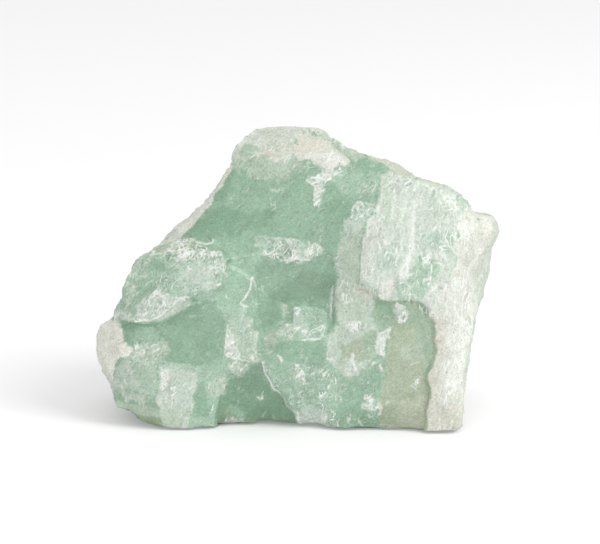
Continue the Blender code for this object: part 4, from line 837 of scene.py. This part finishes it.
def beryl():
    """Pale green beryl, clear, milky or crushed as the stone's own zones say."""
    material = bpy.data.materials.new("beryl")
    material.use_nodes = True
    tree = material.node_tree
    shader = tree.nodes["Principled BSDF"]

    def node(kind, settings, sockets, output=0):
        return Wire.node(tree, kind, settings, sockets, output)

    def vector(operation, sockets):
        return node("ShaderNodeVectorMath", {"operation": operation}, sockets)

    def zone(name, output="Fac"):
        """How much of a zone there is, or its colour."""
        return node("ShaderNodeAttribute", {"attribute_name": name}, {}, output)

    def blend(share, one, light):
        """One tone, with a plain light over this share of it."""
        return node("ShaderNodeMix", {"data_type": "RGBA"}, {"Factor": share, 6: one, 7: (*light * LIT, 1)}, 2)

    mm = vector("SCALE", {"Vector": node("ShaderNodeTexCoord", {}, {}, "Object"), "Scale": 1 / MM})

    def cloud(grain, detail=2.0, roughness=0.5, place=mm):
        """Soft noise, between 0 and 1 and mostly near a half."""
        sockets = {"Vector": place, "Scale": 1 / grain, "Detail": detail, "Roughness": roughness}
        return node("ShaderNodeTexNoise", {}, sockets, "Fac")

    def cells(size, place, feature="F1", output="Color"):
        """Cells of about this size: a colour for each, or how far from its middle or its edge each place is."""
        sockets = {"Vector": place, "Scale": 1 / size}
        return node("ShaderNodeTexVoronoi", {"feature": feature}, sockets, output)

    def shards(size, place):
        """A shade of its own, between 0 and 1, for each cell."""
        return node("ShaderNodeSeparateColor", {}, {"Color": cells(size, place)}, 0)

    def cracks(size, width, place):
        """A web of cracks around cells."""
        return cells(size, place, "DISTANCE_TO_EDGE", 0).between(width / size, 0.2 * width / size)

    def warped(reach, grain):
        """Places, each moved a little."""
        wave = node("ShaderNodeTexNoise", {}, {"Vector": mm, "Scale": 1 / grain, "Detail": 1.0}, "Color")
        centred = vector("SUBTRACT", {0: wave, 1: (0.5, 0.5, 0.5)})
        return vector("ADD", {0: mm, 1: vector("SCALE", {"Vector": centred, "Scale": reach})})

    def leaning(turn, drawn, place):
        """Places for a pattern that is drawn out along a line that leans to the right by this turn."""
        sockets = {"Vector": place, "Rotation": (0, math.radians(turn), 0), "Scale": (1.0, 1.3, drawn)}
        return node("ShaderNodeMapping", {"vector_type": "TEXTURE"}, sockets)

    def feathers(grain, thin, turn, place, drawn=3.4):
        """Fine bright strands, and a painted shadow line along one side of each, as if the strands stood up in
        relief.
        """
        field = cloud(grain, 1.0, 0.4, leaning(turn, drawn, place)) - 0.5
        bright = abs(field).between(thin, 0.25 * thin)
        # a painted shadow line beside each strand, on one side only
        dark = abs(field + 2.1 * thin).between(1.1 * thin, 0.3 * thin)
        some = cloud(1.6 * grain, 1.0).between(0.44, 0.56) * cloud(4.2 * grain).between(0.38, 0.56)
        return bright * some, dark * some

    crush = zone("crushed")
    rough = crush.between(0.0, 0.45)
    fibre = zone("fibrous")
    wavy = warped(reach=1.0, grain=1.5)
    swirled = warped(reach=2.6, grain=1.6)

    # crack webs, hair-thin strands and sugary shards, which are white where the stone is crushed
    web_place = leaning(turn=40, drawn=1.7, place=wavy)
    web = cracks(size=0.95, width=0.11, place=web_place).most(cracks(size=0.5, width=0.08, place=web_place) * 0.8)
    web = web * cloud(0.95).between(0.36, 0.58)
    coarse, coarse_painted_shadow = feathers(grain=0.85, thin=0.04, turn=46, place=wavy)
    fine, fine_painted_shadow = feathers(grain=0.42, thin=0.055, turn=24, place=wavy)
    feather = coarse.most(fine * 0.8)
    # the painted shadow lines beside both sets of strands
    gap = coarse_painted_shadow.most(fine_painted_shadow * 0.8)
    shade = shards(size=0.4, place=warped(reach=1.1, grain=0.9))
    sugar = cloud(0.2, 2.0, 0.7).between(0.56, 0.7)
    patchy = cloud(1.4, 3.0, 0.6) - 0.44
    broken = crush * (web * 1.1 + sugar * 0.3 + patchy * 0.7 + (shade - 0.5) * 0.35) + rough * feather * 0.65
    faint = feather * cloud(2.2).between(0.44, 0.62) * 0.4 + sugar * cloud(1.1, 3.0).between(0.5, 0.75) * 0.2
    white = (broken + faint).between(0.02, 1.0)

    # upright fibres and ribs, and the rounded veils of the milky block
    upright = {"Vector": mm, "Rotation": (0, math.radians(-6), 0), "Scale": (1.0, 1.0, 0.09)}
    strands = cloud(0.5, 3.0, 0.6, node("ShaderNodeMapping", {}, upright))
    veils = cracks(size=2.1, width=0.08, place=swirled) * cloud(1.6).between(0.44, 0.6)
    wisp, wisp_painted_shadow = feathers(grain=1.0, thin=0.03, turn=20, place=swirled)
    rib, rib_painted_shadow = feathers(grain=0.75, thin=0.04, turn=5, place=warped(reach=0.5, grain=2.5), drawn=13.0)
    silk = fibre * (strands.between(0.48, 0.75) * 0.36 + veils * 0.5).most(wisp * 0.85).most(rib * 0.85)

    # bright rims of ledges, here and there: partly the whitening of chipped edges and partly painted light, as thin
    # translucent edges catch
    rim = zone("ledge").between(0.2, 0.04) * cloud(0.5).between(0.42, 0.62) * (crush * 0.5 + 0.12)

    # the green itself, mottled in slanting bands, blots and fine grit, less the painted shadow lines beside the
    # strands, wisps and ribs
    bands = cloud(2.4, 3.0, 0.5, leaning(turn=44, drawn=2.4, place=wavy)) - 0.5
    striae = cloud(0.17, 2.0, 0.6, leaning(turn=48, drawn=5.0, place=wavy)) - 0.5
    blots = (cloud(0.8, 3.0, 0.6) - 0.5) * (rough * 0.4 + 0.12) + (shade - 0.5) * (crush * 0.22 + 0.03)
    grit = (shards(size=0.15, place=mm) - 0.5) * 0.28 + (cloud(0.24, 2.0, 0.7) - 0.5) * 0.35
    swirls = (cloud(1.9, 2.0, 0.5, swirled) - 0.5) * fibre * 0.3
    # painted shade: dark lines beside the bright strands, wisps and ribs, as if those stood up in relief
    painted_shadow_lines = gap * (rough * 0.24 + 0.04) * (1 - fibre * 0.5) + (wisp_painted_shadow + rib_painted_shadow) * fibre * 0.14
    mottle = bands * 0.42 + striae * 0.35 + blots + grit + swirls - painted_shadow_lines
    tone = vector("SCALE", {"Vector": zone("tint", "Color"), "Scale": (mottle + 1) * LIT})
    # crushed and fibrous stone whitens, and the ledge rims take their painted light
    tone = blend(white.most(silk).most(rim), tone, linear(WHITE) * FROST)

    # small dark pits
    pit = cells(PIT_SPACING, mm, output="Distance").between(*PIT_EDGE)
    tone = blend(pit * shards(PIT_SPACING, mm).between(*PIT_SHARE) * 0.75, tone, linear(PIT))
    tree.links.new(tone.socket, shader.inputs["Base Color"])

    roughness = crush * 0.3 + (cloud(0.9) - 0.5) * 0.3 + ROUGHNESS
    tree.links.new(roughness.socket, shader.inputs["Roughness"])

    height = (
        web * crush * 0.4 + sugar * (crush * 0.7 + 0.1) + shade * (crush * 0.8 + 0.06)
        + cloud(0.4, 3.0, 0.65) * (rough * 0.8 + 0.2) + strands * fibre * 0.6 + feather * (rough * 0.4 + 0.1)
    )
    bump = node("ShaderNodeBump", {}, {"Height": height, "Strength": BUMP_STRENGTH, "Distance": BUMP_HEIGHT})
    tree.links.new(bump.socket, shader.inputs["Normal"])

    set_sockets(shader, {
        "Subsurface Weight": SUBSURFACE, "Subsurface Radius": SUBSURFACE_RADIUS,
        "Subsurface Scale": SUBSURFACE_DEPTH, "IOR": IOR,
    })
    return material


mesh.materials.append(beryl())
mesh.shade_smooth()
stone = put("stone", mesh)
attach(stone, "root")
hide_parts("aquamarine")


# The table and the light
# A plain white table under an even white sky of light, with one soft round lamp high on the right and a wide low
# one in front. The table glows a little, as a lit backdrop does, so no shadow on it is black.

TABLE_SIZE = 4.0
PAPER = 0.64
PAPER_ROUGHNESS = 0.9
PAPER_GLOW = 0.185
SKY = 1.0
LAMP_AIM = Vector((0, 0, 0.01))

sheet = bpy.data.meshes.new("table")
bm = bmesh.new()
bmesh.ops.create_grid(bm, x_segments=1, y_segments=1, size=TABLE_SIZE / 2)
bm.to_mesh(sheet)
bm.free()
table = put("table", sheet)
paper = bpy.data.materials.new("paper")
paper.use_nodes = True
set_sockets(paper.node_tree.nodes["Principled BSDF"], {
    "Base Color": (PAPER, PAPER, PAPER, 1), "Roughness": PAPER_ROUGHNESS,
    "Emission Color": (1, 1, 1, 1), "Emission Strength": PAPER_GLOW,
})
sheet.materials.append(paper)

sky = bpy.data.worlds.new("sky")
sky.use_nodes = True
set_sockets(sky.node_tree.nodes["Background"], {"Color": (1, 1, 1, 1), "Strength": SKY})
bpy.context.scene.world = sky


def hang_lamp(name, shape, width, height, power, place):
    """A soft lamp that shines at the foot of the stone. Only a rectangle has a height of its own."""
    lamp = bpy.data.lights.new(name, "AREA")
    lamp.shape = shape
    lamp.size = width
    lamp.size_y = height
    lamp.energy = power
    hung = put(name, lamp)
    hung.location = place
    hung.rotation_euler = (hung.location - LAMP_AIM).to_track_quat("Z", "Y").to_euler()


hang_lamp("lamp", "DISK", width=0.35, height=0.35, power=2.4, place=(0.42, -0.22, 0.42))
hang_lamp("front", "RECTANGLE", width=0.8, height=0.16, power=1.6, place=(0.02, -0.7, 0.085))
bpy.context.scene.view_settings.view_transform = "Standard"
